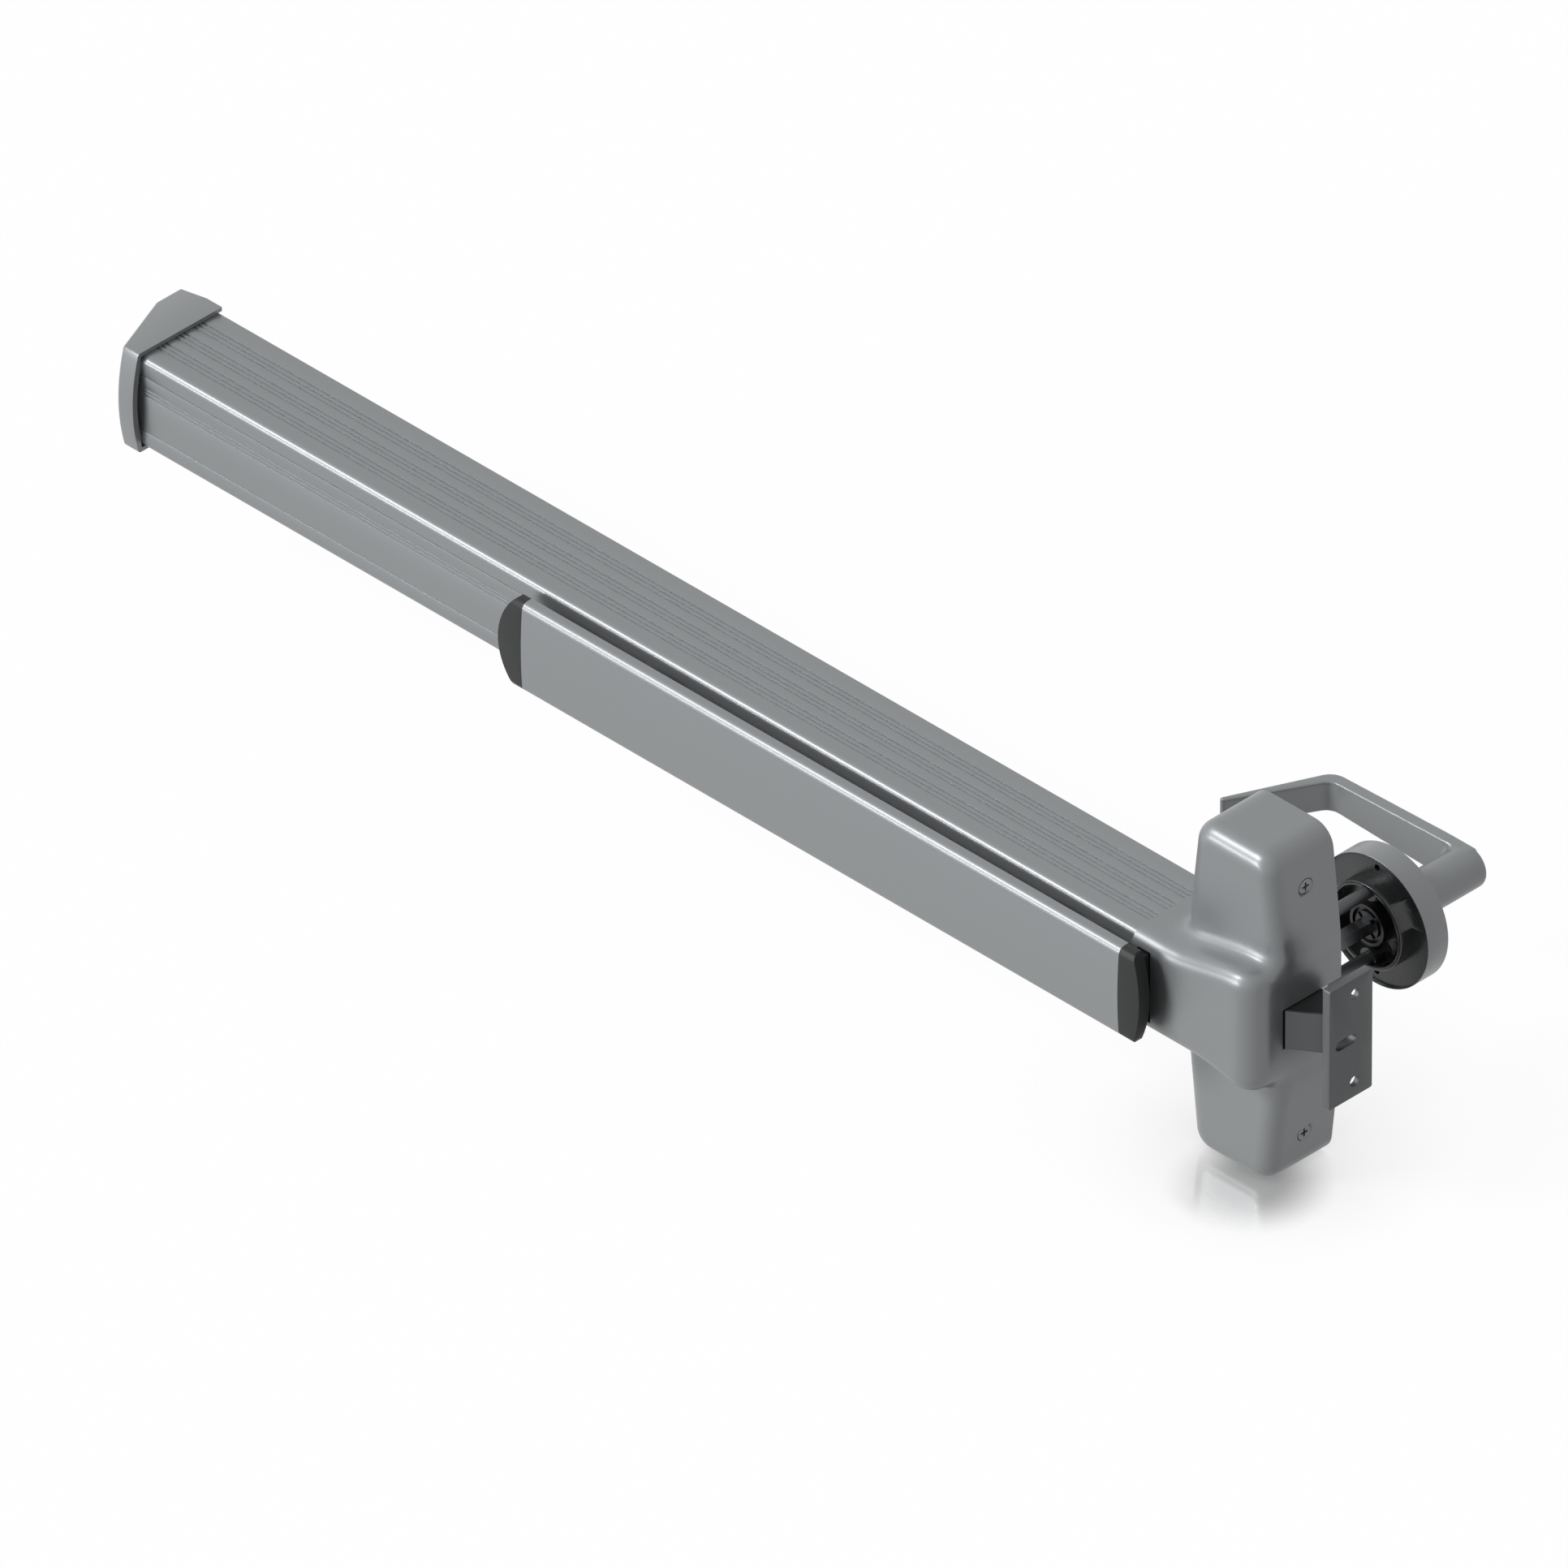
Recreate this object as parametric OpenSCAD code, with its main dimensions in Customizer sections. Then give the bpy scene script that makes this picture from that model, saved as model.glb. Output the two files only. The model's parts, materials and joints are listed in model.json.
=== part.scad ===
// Touch-bar exit device with a rim latch, a strike plate and an outside lever trim.
// +X runs along the bar toward the latch, +Y toward the door and the outside, +Z up.
// The origin is on the lever axis, in the plane of the door's inner face.

/* [Mechanism case] */
// Outer height and depth of the square aluminium case
case_size = 57.15; // [50:0.5:62]
// Wall of the case extrusion
case_wall = 2.2; // [1.6:0.1:3]
// Distance from the door face to the back of the case
case_standoff = 4.75; // [3:0.25:8]
// Distance from the lever axis to the hinge end of the case
case_reach = 790; // [600:5:1000]
// Distance from the lever axis to the latch end of the case
case_start = 50; // [44:1:54]
// Height of the long slot in the front of the case
case_slot_h = 34.8; // [30:0.2:40]
// Radius of the front corners of the case
case_corner_r = 3.5; // [1:0.5:5]
// Distance between neighbouring grooves in one group
groove_pitch = 3; // [2:0.1:4]
// Distance between the groups of grooves
groove_group_pitch = 13.3; // [10:0.1:16]
// Width of one groove
groove_w = 0.9; // [0.4:0.1:1.5]
// Depth of one groove
groove_depth = 0.4; // [0.2:0.1:0.8]
// Distance from the lever axis to the latch end of the filler strip
filler_start = 478; // [440:1:520]

/* [End cap] */
// Length of the case that the cap covers
cap_overlap = 7.5; // [5:0.5:12]
// How far the cap reaches past the end of the case
cap_nose = 24; // [16:1:40]
// Wall of the cap
cap_wall = 2.5; // [1.5:0.1:4]
// How far the cap's front bulges at mid height
cap_bow = 4.4; // [0:0.2:8]
// Half width of the spacing of the two bracket screws
bracket_screw_z = 14; // [8:1:18]

/* [Touch pad] */
// Length of the metal pad between its moulded ends
pad_len = 435.8; // [300:1:560]
// Distance from the lever axis to the latch end of the metal pad
pad_start = 48.2; // [44:0.2:56]
// Height of the pad
pad_h = 56; // [48:0.5:60]
// Distance from the door face to the front of the pad
pad_front = 79.6; // [76:0.2:90]
// Wall of the pad extrusion
pad_wall = 2.5; // [1.5:0.1:4]
// Length of the pad's upper and lower flanges
pad_flange = 8.1; // [6:0.1:9]
// Radius of the pad's long front edges
pad_corner_r = 4.5; // [2:0.5:7]
// How far the pad's front is crowned
pad_crown = 1.2; // [0:0.1:2.5]
// How far the pad moves when it is pressed
pad_travel = 6; // [5:0.25:6]
// How far the hinge-side pad end bulges beyond its corners
end_bulge_left = 10; // [4:0.5:14]
// How far the latch-side pad end bulges beyond its corners
end_bulge_right = 5.4; // [3:0.1:7]
// Width of the hinge-side pad end at its corners
end_w_left = 7; // [4:0.5:10]
// Width of the latch-side pad end at its corners
end_w_right = 10.2; // [7:0.2:12]

/* [Linkage] */
// Distance from the lever axis to the latch-side crank
crank_near = 130; // [100:5:180]
// Distance from the hinge-side end of the metal pad to its crank
crank_inset = 64; // [50:1:120]
// Distance from the pivot to the link's pin
crank_out = 37.4; // [36.8:0.1:37.8]
// Distance from the door face to the middle of the link
link_y = 15; // [14.5:0.1:16]
// Radius of the crank pivot pins
pivot_r = 3; // [2:0.25:3.5]
// Radius of the pins that run in the crank forks
fork_pin_r = 2; // [1.5:0.1:2.2]
// Thickness of the link bar
link_t = 4; // [3:0.25:4.5]
// Width of the link bar
link_w = 10; // [7:0.5:11]

/* [Centre case] */
// Half height of the centre cover
cover_half_h = 103; // [98:0.5:110]
// Half width of the cover at its middle
cover_half_w = 35.1; // [33:0.1:38]
// Half width of the cover at its ends
cover_end_half_w = 29.2; // [28:0.1:32]
// Depth of the cover's upper and lower legs
leg_depth = 46; // [45.5:0.25:52]
// Distance from the lever axis to the cover's hinge-side edge
arm_reach = 53; // [52:0.5:62]
// Half height of the arm at that edge
arm_half_h = 30; // [29.8:0.1:32]
// Half height of the raised band at the latch side
band_half_h = 38.5; // [32:0.5:40]
// Depth of the raised band and of the arm over the case
band_depth = 64.6; // [64.4:0.1:65.4]
// Wall of the cover
cover_wall = 2.5; // [1.8:0.1:3.5]
// Height of the screws in the cover's sides above the lever axis
cover_screw_z = 77.7; // [66:0.5:84]
// Distance from the door face to those screws
cover_screw_y = 21.5; // [18:0.5:30]
// Half spacing of the mounting screws along the bar
mount_x = 15; // [12:0.5:18]
// Half spacing of the mounting screws up and down
mount_z = 62; // [50:1:68]
// Radius of the mounting screw holes
mount_hole_r = 2.75; // [2:0.25:3.5]

/* [Latch] */
// Height of the latch bolt
latch_h = 24; // [20:0.5:26]
// How far the latch stands out of the cover at rest
latch_throw = 19; // [17:0.5:19.5]
// Distance from the door face to the latch bolt's flat side
latch_back = 14; // [13.5:0.25:16]
// Distance from the door face to the latch bolt's bevelled side
latch_front = 41.5; // [38:0.25:41.75]
// Distance from the door face to the tip of the bevel
latch_tip = 28.7; // [24:0.25:34]
// Thickness of the metal face on the bevel
face_t = 1.2; // [0.8:0.1:2]
// Radius of the wire of the latch spring
latch_wire_r = 0.6; // [0.4:0.05:0.8]

/* [Strike] */
// Width of the strike plate
strike_w = 31.4; // [26:0.2:36]
// Height of the strike plate
strike_h = 74.5; // [66:0.5:90]
// Thickness of the strike plate
strike_t = 5.3; // [3:0.1:7]
// Distance from the lever axis to the outer face of the strike plate
strike_x = 65.7; // [64:0.1:72]
// Distance from the door face to the nearer edge of the strike plate
strike_y = 8; // [6:0.25:9]
// Half spacing of the strike plate's round holes
strike_hole_z = 27.5; // [22:0.5:31]
// Radius of the strike plate's round holes
strike_hole_r = 3.2; // [2.5:0.1:4]
// Length of the strike plate's adjusting slot
strike_slot_len = 15.2; // [10:0.2:18]

/* [Outside trim] */
// Thickness of the door between the device and the trim
door_t = 60.2; // [44:0.1:70]
// Radius of the rose
rose_r = 39; // [36:0.5:44]
// Depth of the rose
rose_depth = 15.1; // [12:0.1:20]
// Wall of the rose
rose_wall = 2; // [1.2:0.1:3]
// Radius of the boss that fills the door's bore
boss_r = 25.7; // [24.7:0.1:26.7]
// How far the boss reaches into the door
boss_depth = 6.7; // [4:0.1:12]
// Half spacing of the two posts
post_z = 21; // [19.5:0.25:21.5]
// Radius of the posts
post_r = 3.5; // [3:0.1:4]
// Width of the square spindle
spindle_w = 7; // [5:0.5:8]
// Radius of the lever's hub
hub_r = 12.2; // [11:0.1:13]
// Distance from the door's outer face to the outside of the lever
lever_out = 71.5; // [60:0.5:80]
// Thickness of the lever's grip
grip_t = 7.5; // [5:0.25:10]
// Half height of the grip at the hub
grip_half_h = 12; // [10:0.25:14]
// Half height of the grip at its far end
grip_end_half_h = 9.2; // [7:0.2:12]
// Distance from the lever axis to the bend of the grip
grip_len = 99; // [80:1:120]
// How far the bent end runs on past the bend
return_run = 26.6; // [10:0.2:40]
// Distance from the rose's face plane to the tip of the bent end
return_gap = 2.3; // [0:0.1:10]

/* [Hidden] */
$fn = 48;
hull_fn = 28;
bow_fn = 480;
eps = 0.05;
seat_gap = 0.1;
run_gap = 0.3;
fit_gap = 0.03;

half = case_size / 2;
case_back = -case_standoff;
case_front = case_back - case_size;
case_in_back = case_back - case_wall;
case_in_front = case_front + case_wall;
groove_mid = case_back - case_size / 2;
lip = case_slot_h / 2;

cap_edge = -case_reach + cap_overlap;
cap_end = -case_reach - cap_nose;
cap_stand = cap_wall + run_gap;
cap_half_h = half + cap_stand;
cap_end_half_h = cap_half_h - 3.7;
cap_flat = cap_edge - 11.3;
cap_back = case_back + 2;
cap_front = case_front - cap_stand + 0.7;
cap_side_y = -20;
bracket_x = -case_reach - cap_nose / 2 + 0.5;
bracket_hole_r = 2.75;
bracket_len = 40;
bracket_half_h = 22;

pad_right = -pad_start;
pad_left = -pad_start - pad_len;
pad_back = -pad_front + pad_flange;
pad_in = -pad_front + pad_wall;
pad_half = pad_h / 2;
pad_edge_half = pad_half - 1;
neck_half_h = 21;
neck_left = pad_right + 0.7;
neck_right = pad_right + end_w_right - 2.5;
neck_back = -60;

crank_far = pad_start + pad_len - crank_inset;
pivot_y = -link_y - crank_out;
half_travel = pad_travel / 2;
link_offset = latch_throw / 2;
crank_angle = atan(link_offset / crank_out);
crank_in = half_travel * crank_out / link_offset;
crank_plate = 6;
crank_hub_r = 5.2;
crank_hub_h = 24;
fork_play = 0.35;
fork_wall = 2.5;
ear_z = crank_hub_h / 2 + 1.2;
ear_t = 2.5;
ear_half_w = 8;
crank_base = 20;
carrier_back = 8;
carrier_front = 32;
carrier_half_h = 19;
prong_z = 4.5;
prong_t = 2.5;
link_z = 4;
link_right = -14;
hook_x = -20;

plate_half_w = 25.5;
plate_half_h = cover_half_h - 9;
plate_reach = arm_reach + 11;
plate_arm_half_h = 22;
spindle_hole_r = 10;
tab_x = 22.5;
tab_t = 3;
cover_screw_len = 11;
leg_end_r = 13;
leg_front_r = 11;
leg_mid_r = 9;
leg_mid_z = band_half_h + 4;
band_r = 7.2;
band_step = 0.4;
band_side_r = 15;
slot_gap = 0.5;
window_gap = 1.2;

latch_half_h = latch_h / 2;
latch_tail = -10;
latch_out = cover_half_w + 0.5;
latch_nose = cover_half_w + latch_throw + 0.5;
guide_left = -36;
guide_right = cover_half_w - cover_wall - 1;
guide_t = 2.7;
spring_y = -31;
spring_bore_r = 5;
spring_bore_end = 25;
tail_left = hook_x - 6;
tail_right = 4;

trim_front = door_t + rose_depth;
chassis_y = door_t + 1.8;
chassis_t = 2.5;
spring_coil_r = 15.5;
lever_y = door_t + lever_out;
hub_start = trim_front + 0.5;
screw_r = 2;
tip_y = trim_front - return_gap;
tip_t = 3;
strike_rim = 2;
strike_web = 3;
keeper_half_h = latch_half_h + 2;
cam_front = -9.5;
cam_back = -5.5;

// Extrusions whose outline lies across X, Y or Z
module along_x(x0, x1) {
    translate([x0, 0, 0])
        rotate([90, 0, 90])
            linear_extrude(x1 - x0)
                children();
}

module along_y(y0, y1) {
    translate([0, y1, 0])
        rotate([90, 0, 0])
            linear_extrude(y1 - y0)
                children();
}

module along_z(z0, z1) {
    translate([0, 0, z0])
        linear_extrude(z1 - z0)
            children();
}

// Round bars along X, Y and Z
module rod_x(x0, x1, y, z, r) {
    translate([x0, y, z])
        rotate([0, 90, 0])
            cylinder(h = x1 - x0, r = r);
}

module rod_y(y0, y1, x, z, r) {
    translate([x, y1, z])
        rotate([90, 0, 0])
            cylinder(h = y1 - y0, r = r);
}

module rod_z(z0, z1, x, y, r) {
    translate([x, y, z0])
        cylinder(h = z1 - z0, r = r);
}

// A block from one corner to the other
module block(low, high) {
    translate(low)
        cube(high - low);
}

// A rectangle with rounded corners, from one corner to the other
module round_rect(low, high, r) {
    translate([low[0] + r, low[1]])
        square([high[0] - low[0] - 2 * r, high[1] - low[1]]);
    translate([low[0], low[1] + r])
        square([high[0] - low[0], high[1] - low[1] - 2 * r]);
    for (x = [low[0] + r, high[0] - r])
        for (y = [low[1] + r, high[1] - r])
            translate([x, y])
                circle(r = r);
}

// A slot with round ends between two points of one line
module stadium(a, b, r) {
    translate(a)
        circle(r = r);
    translate(b)
        circle(r = r);
    translate([min(a[0], b[0]), a[1] - r])
        square([abs(b[0] - a[0]), 2 * r]);
}

// A cross recess for a screwdriver, cut into a head whose top is at z = 0
module cross_recess(size, depth) {
    for (turn = [0, 90])
        rotate([0, 0, turn])
            translate([-size / 2, -size / 8, -depth])
                cube([size, size / 4, depth + eps]);
}

// A countersunk screw that points down, with the top of its head at z = 0
module flat_screw(head_r, head_h, shank_r, length) {
    difference() {
        union() {
            translate([0, 0, -head_h])
                cylinder(h = head_h, r1 = shank_r, r2 = head_r);
            translate([0, 0, -length])
                cylinder(h = length - head_h + eps, r = shank_r);
        }
        cross_recess(head_r * 1.1, head_h * 0.7);
    }
}

// A pan head screw that points down, with its seat at z = 0
module pan_screw(head_r, head_h, shank_r, length) {
    difference() {
        union() {
            cylinder(h = head_h, r = head_r);
            translate([0, 0, -length])
                cylinder(h = length + eps, r = shank_r);
        }
        translate([0, 0, head_h])
            cross_recess(head_r * 1.2, head_h * 0.6);
    }
}

// A wire wound round Z
coil_rings = 10;
coil_sides = 6;

function coil_points(mean_r, wire_r, turns, z0, z1) =
    let (last = turns * coil_rings)
    [for (i = [0:last])
        for (j = [0:coil_sides - 1])
            let (turn = 360 * i / coil_rings, b = 360 * j / coil_sides)
            [(mean_r + wire_r * cos(b)) * cos(turn),
             (mean_r + wire_r * cos(b)) * sin(turn),
             z0 + (z1 - z0) * i / last + wire_r * sin(b)]];

function coil_faces(turns) =
    let (last = turns * coil_rings, n = coil_sides)
    concat(
        [for (j = [1:n - 2]) [0, j, j + 1]],
        [for (i = [0:last - 1])
            for (j = [0:n - 1])
                [i * n + j, (i + 1) * n + j, (i + 1) * n + (j + 1) % n]],
        [for (i = [0:last - 1])
            for (j = [0:n - 1])
                [i * n + j, (i + 1) * n + (j + 1) % n, i * n + (j + 1) % n]],
        [for (j = [1:n - 2]) [last * n, last * n + j + 1, last * n + j]]);

module coil(mean_r, wire_r, turns, z0, z1) {
    polyhedron(points = coil_points(mean_r, wire_r, turns, z0, z1), faces = coil_faces(turns));
}

// Mechanism case
module case_profile() {
    difference() {
        union() {
            round_rect([case_front, -half], [case_back, half], case_corner_r);
            translate([case_back - 2 * case_corner_r, -half])
                square([2 * case_corner_r, case_size]);
        }
        round_rect([case_in_front, -half + case_wall], [case_in_back, half - case_wall],
            case_corner_r - case_wall / 2);
        translate([case_front - eps, -lip])
            square([case_wall + 2 * eps, case_slot_h]);
        for (side = [-1, 1])
            for (group = [-1:1])
                for (line = [-1:1])
                    translate([groove_mid + group * groove_group_pitch + line * groove_pitch
                        - groove_w / 2, side * half - groove_depth])
                        square([groove_w, 2 * groove_depth]);
    }
}

module case_screw_places() {
    for (x = [-plate_reach + 5, -case_reach + 22])
        for (z = [-10, 10])
            translate([x, case_in_back, z])
                rotate([90, 0, 0])
                    children();
}

module mechanism_case() {
    color("#9b9fa1")
    difference() {
        along_x(-case_reach, -case_start)
            case_profile();
        case_screw_places()
            translate([0, 0, -case_wall - eps])
                cylinder(h = case_wall + 2 * eps, r = screw_r + fit_gap);
    }
}

module case_filler() {
    lip_back = case_in_front + seat_gap;
    color("#9da1a3")
    along_x(-case_reach + seat_gap, -filler_start)
    difference() {
        union() {
            translate([case_front, -lip + seat_gap])
                square([case_wall + 2 * seat_gap, case_slot_h - 3 * seat_gap]);
            translate([lip_back, -lip - 2.6])
                square([1.5, case_slot_h + 5.2]);
        }
        for (z = [5.7, 8, 10.2])
            translate([case_front - eps, z - groove_w / 2])
                square([groove_depth, groove_w]);
    }
}

module case_screws() {
    color("#8a8d8f")
    case_screw_places()
        pan_screw(4, 2.2, screw_r, case_wall + case_standoff - 0.5);
}

// End cap at the hinge end
module cap_plan(t) {
    slope = (cap_flat - cap_end) / (cap_front - cap_side_y);
    low_y = cap_front - cap_bow - 4;
    polygon([
        [cap_edge + (t > 0 ? 1 : 0), low_y],
        [cap_flat + slope * (low_y - cap_front) + t * 0.9, low_y],
        [cap_end + t, cap_side_y + (t > 0 ? 0.5 : 0)],
        [cap_end + t, cap_back + (t > 0 ? 1 : 0)],
        [cap_edge + (t > 0 ? 1 : 0), cap_back + (t > 0 ? 1 : 0)]]);
}

module cap_side(t) {
    polygon([
        [cap_edge + 1, -cap_half_h + t],
        [cap_flat, -cap_half_h + t],
        [cap_end - 1, -cap_end_half_h + t],
        [cap_end - 1, cap_end_half_h - t],
        [cap_flat, cap_half_h - t],
        [cap_edge + 1, cap_half_h - t]]);
}

module cap_form(t) {
    bow_r = (cap_half_h * cap_half_h + cap_bow * cap_bow) / (2 * cap_bow);
    intersection() {
        along_z(-cap_half_h - 1, cap_half_h + 1)
            cap_plan(t);
        along_y(cap_front - cap_bow - 5, cap_back + 2)
            cap_side(t);
        along_x(cap_end - 2, cap_edge + 2)
            translate([cap_front - cap_bow + bow_r, 0])
                circle(r = bow_r - t, $fn = bow_fn);
    }
}

module end_cap() {
    screw_x = cap_end + cap_wall;
    color("#8b8e90")
    difference() {
        cap_form(0);
        intersection() {
            cap_form(cap_wall);
            block([cap_end, case_front - run_gap, -half - run_gap],
                [cap_edge + 2, 5, half + run_gap]);
        }
        rod_x(cap_end - 1, screw_x + 1, -11, 0, screw_r + 0.25);
    }
}

module end_bracket() {
    left = cap_end + cap_wall + 1;
    color("#a9acad")
    difference() {
        union() {
            block([left, case_back, -bracket_half_h],
                [-case_reach + bracket_len, 0, bracket_half_h]);
            block([left, -18, -7], [left + 3, case_back + eps, 7]);
        }
        for (z = [-bracket_screw_z, bracket_screw_z])
            rod_y(case_back - 1, 1, bracket_x, z, bracket_hole_r);
        rod_x(left - 1, left + 4, -11, 0, screw_r + fit_gap);
        case_screw_places()
            translate([0, 0, -case_wall - case_standoff - 1])
                cylinder(h = case_standoff + 1 + eps, r = screw_r + fit_gap);
    }
}

module end_cap_screw() {
    color("#8a8d8f")
    translate([cap_end, -11, 0])
        rotate([0, -90, 0])
            pan_screw(4, 1.6, screw_r, cap_wall + 5);
}

// Touch pad and its moulded ends
module pad_outline(back) {
    bow = (pad_half * pad_half + pad_crown * pad_crown) / (2 * pad_crown);
    intersection() {
        round_rect([-pad_front, -pad_half], [back + 10, pad_half], pad_corner_r);
        translate([-pad_front + bow, 0])
            circle(r = bow, $fn = bow_fn);
        translate([-pad_front - 1, -pad_half])
            square([back + pad_front + 1, pad_h]);
    }
}

module pad_hollow(t) {
    round_rect([-pad_front + t, -pad_half + t], [pad_back + 10, pad_half - t],
        max(pad_corner_r - t, 0.5));
}

module touch_pad() {
    color("#989b9d")
    along_x(pad_left, pad_right)
    difference() {
        pad_outline(pad_back);
        pad_hollow(pad_wall);
    }
}

// The end's outline seen from the front, bulging at mid height
module end_outline(edge, width, bulge, dir, t) {
    arc_r = (pad_edge_half * pad_edge_half + bulge * bulge) / (2 * bulge);
    tip = edge + dir * (width + bulge);
    intersection() {
        translate([tip - dir * arc_r, 0])
            circle(r = arc_r - t, $fn = bow_fn);
        translate([dir > 0 ? edge : edge - width - bulge, -pad_half])
            square([width + bulge, pad_h]);
    }
}

module pad_end(edge, width, bulge, dir) {
    plug_len = 12;
    wall = 3;
    plug_x = [edge - dir * plug_len, edge + dir * 1.5];
    difference() {
        intersection() {
            along_x(min(edge, edge + dir * 40), max(edge, edge + dir * 40))
                pad_outline(pad_back - 0.1);
            along_y(-pad_front - 1, pad_back + 1)
                end_outline(edge, width, bulge, dir, 0);
        }
        intersection() {
            along_x(min(edge, edge + dir * 40), max(edge, edge + dir * 40))
                pad_hollow(wall);
            along_y(-pad_front, pad_back + 2)
                end_outline(edge + dir * 2, width - 2, bulge, dir, wall);
        }
    }
    block([min(plug_x), pad_in + seat_gap, -pad_half + 5],
        [max(plug_x), pad_in + seat_gap + 2, pad_half - 5]);
}

module pad_end_left() {
    color("#4a4b4c")
    pad_end(pad_left, end_w_left, end_bulge_left, -1);
}

module pad_end_right() {
    color("#4a4b4c")
    union() {
        pad_end(pad_right, end_w_right, end_bulge_right, 1);
        block([neck_left, -pad_front + 4, -neck_half_h], [neck_right, neck_back, neck_half_h]);
    }
}

// Carriers that join the pad to the cranks
module pad_carrier(x) {
    prong_x = x + crank_in - 4.3;
    pin_y = pivot_y - half_travel;
    color("#a4a7a8")
    difference() {
        union() {
            block([x - carrier_back, pad_in, -carrier_half_h],
                [x + carrier_front, pad_in + 2.5, carrier_half_h]);
            for (side = [-1, 1])
                block([prong_x, pad_in + 2, side > 0 ? prong_z : -prong_z - prong_t],
                    [prong_x + 10, pin_y + 5, side > 0 ? prong_z + prong_t : -prong_z]);
        }
        rod_z(-20, 20, x + crank_in, pin_y, fork_pin_r + fit_gap);
    }
}

module pad_carrier_left() {
    pad_carrier(-crank_far);
}

module pad_carrier_right() {
    pad_carrier(-crank_near);
}

module carrier_pins() {
    color("#b5b7b8")
    for (x = [-crank_far, -crank_near])
        rod_z(-prong_z - prong_t - 0.5, prong_z + prong_t + 0.5, x + crank_in,
            pivot_y - half_travel, fork_pin_r);
}

// Cranks and what carries them
module crank_bracket(x) {
    color("#a4a7a8")
    difference() {
        union() {
            block([x - crank_base, case_in_back - 2.5, -crank_base],
                [x + crank_base, case_in_back, crank_base]);
            for (side = [-1, 1])
                block([x - ear_half_w, pivot_y - 5.6, side > 0 ? ear_z : -ear_z - ear_t],
                    [x + ear_half_w, case_in_back - 2, side > 0 ? ear_z + ear_t : -ear_z]);
        }
        rod_z(-20, 20, x, pivot_y, pivot_r + fit_gap);
    }
}

module crank_bracket_left() {
    crank_bracket(-crank_far);
}

module crank_bracket_right() {
    crank_bracket(-crank_near);
}

module crank_pins() {
    color("#b5b7b8")
    for (x = [-crank_far, -crank_near])
        rod_z(-ear_z - ear_t - 1, ear_z + ear_t + 1, x, pivot_y, pivot_r);
}

module crank_arm(reach, tip) {
    width = fork_pin_r + fork_play + fork_wall;
    difference() {
        translate([0, -width])
            square([tip, 2 * width]);
        stadium([reach - 0.8, 0], [tip + 5, 0], fork_pin_r + fork_play);
    }
}

module crank(x) {
    color("#8f9294")
    translate([x, pivot_y, 0])
        rotate([0, 0, -crank_angle])
            difference() {
                union() {
                    rod_z(-crank_hub_h / 2, crank_hub_h / 2, 0, 0, crank_hub_r);
                    along_z(-crank_plate / 2, crank_plate / 2) {
                        crank_arm(crank_in, crank_in + 3.4);
                        rotate([0, 0, 90])
                            crank_arm(crank_out, crank_out + 4);
                    }
                }
                rod_z(-crank_hub_h, crank_hub_h, 0, 0, pivot_r + fit_gap);
            }
}

module crank_left() {
    crank(-crank_far);
}

module crank_right() {
    crank(-crank_near);
}

module crank_springs() {
    wire = 0.6;
    low = -crank_hub_h / 2 + wire + 0.1;
    high = -prong_z - prong_t - run_gap - wire;
    color("#77797b")
    for (x = [-crank_far, -crank_near])
        translate([x, pivot_y, 0])
            rotate([0, 0, 180])
                coil(crank_hub_r + wire + 0.4, wire, 2, low, high);
}

module link_rod() {
    color("#a4a7a8")
    difference() {
        block([-crank_far + link_offset - 8, -link_y - link_w / 2, link_z],
            [link_right, -link_y + link_w / 2, link_z + link_t]);
        for (x = [-crank_far + link_offset, -crank_near + link_offset, hook_x])
            rod_z(link_z - 1, link_z + link_t + 1, x, -link_y, fork_pin_r + fit_gap);
    }
}

module link_pins() {
    color("#b5b7b8")
    union() {
        for (x = [-crank_far + link_offset, -crank_near + link_offset])
            rod_z(-crank_plate / 2 - 1.5, link_z + link_t + 0.6, x, -link_y, fork_pin_r);
        rod_z(-latch_half_h + 0.8, latch_half_h - 0.8, hook_x, -link_y, fork_pin_r);
    }
}

// Centre case
module mount_places() {
    for (x = [-mount_x, mount_x])
        for (z = [-mount_z, mount_z])
            translate([x, 0, z])
                children();
}

module base_plate() {
    color("#a9acad")
    difference() {
        union() {
            along_y(case_back, 0)
                round_rect([-plate_half_w, -plate_half_h], [plate_half_w, plate_half_h], 8);
            block([-plate_reach, case_back, -plate_arm_half_h], [0, 0, plate_arm_half_h]);
            for (side = [-1, 1])
                for (z = [-cover_screw_z, cover_screw_z])
                    block([side > 0 ? tab_x : -tab_x - tab_t, -cover_screw_y - 6, z - 7],
                        [side > 0 ? tab_x + tab_t : -tab_x, case_back + eps, z + 7]);
        }
        mount_places()
            rod_y(case_back - 1, 1, 0, 0, mount_hole_r);
        for (z = [-post_z, post_z])
            rod_y(case_back - 1, 1, 0, z, screw_r + fit_gap);
        rod_y(case_back - 1, 1, 0, 0, spindle_hole_r);
        for (z = [-cover_screw_z, cover_screw_z])
            rod_x(-40, 40, -cover_screw_y, z, screw_r + fit_gap);
        case_screw_places()
            translate([0, 0, -case_wall - case_standoff - 1])
                cylinder(h = case_standoff + 1 + eps, r = screw_r + fit_gap);
    }
}

// Outline of the legs seen from the front, with rounded outer corners
module leg_outline(t) {
    h = cover_half_h - t;
    w = cover_half_w - band_step - t;
    e = cover_end_half_w - t;
    r = leg_end_r - t;
    polygon([[-w, leg_mid_z], [-w, -leg_mid_z], [-e, -h + r], [e, -h + r], [w, -leg_mid_z],
        [w, leg_mid_z], [e, h - r], [-e, h - r]]);
    for (up = [-1, 1]) {
        translate([-e + r, up > 0 ? h - r - 1 : -h])
            square([2 * (e - r), r + 1]);
        for (side = [-1, 1])
            translate([side * (e - r), up * (h - r)])
                circle(r = r);
    }
}

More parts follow.
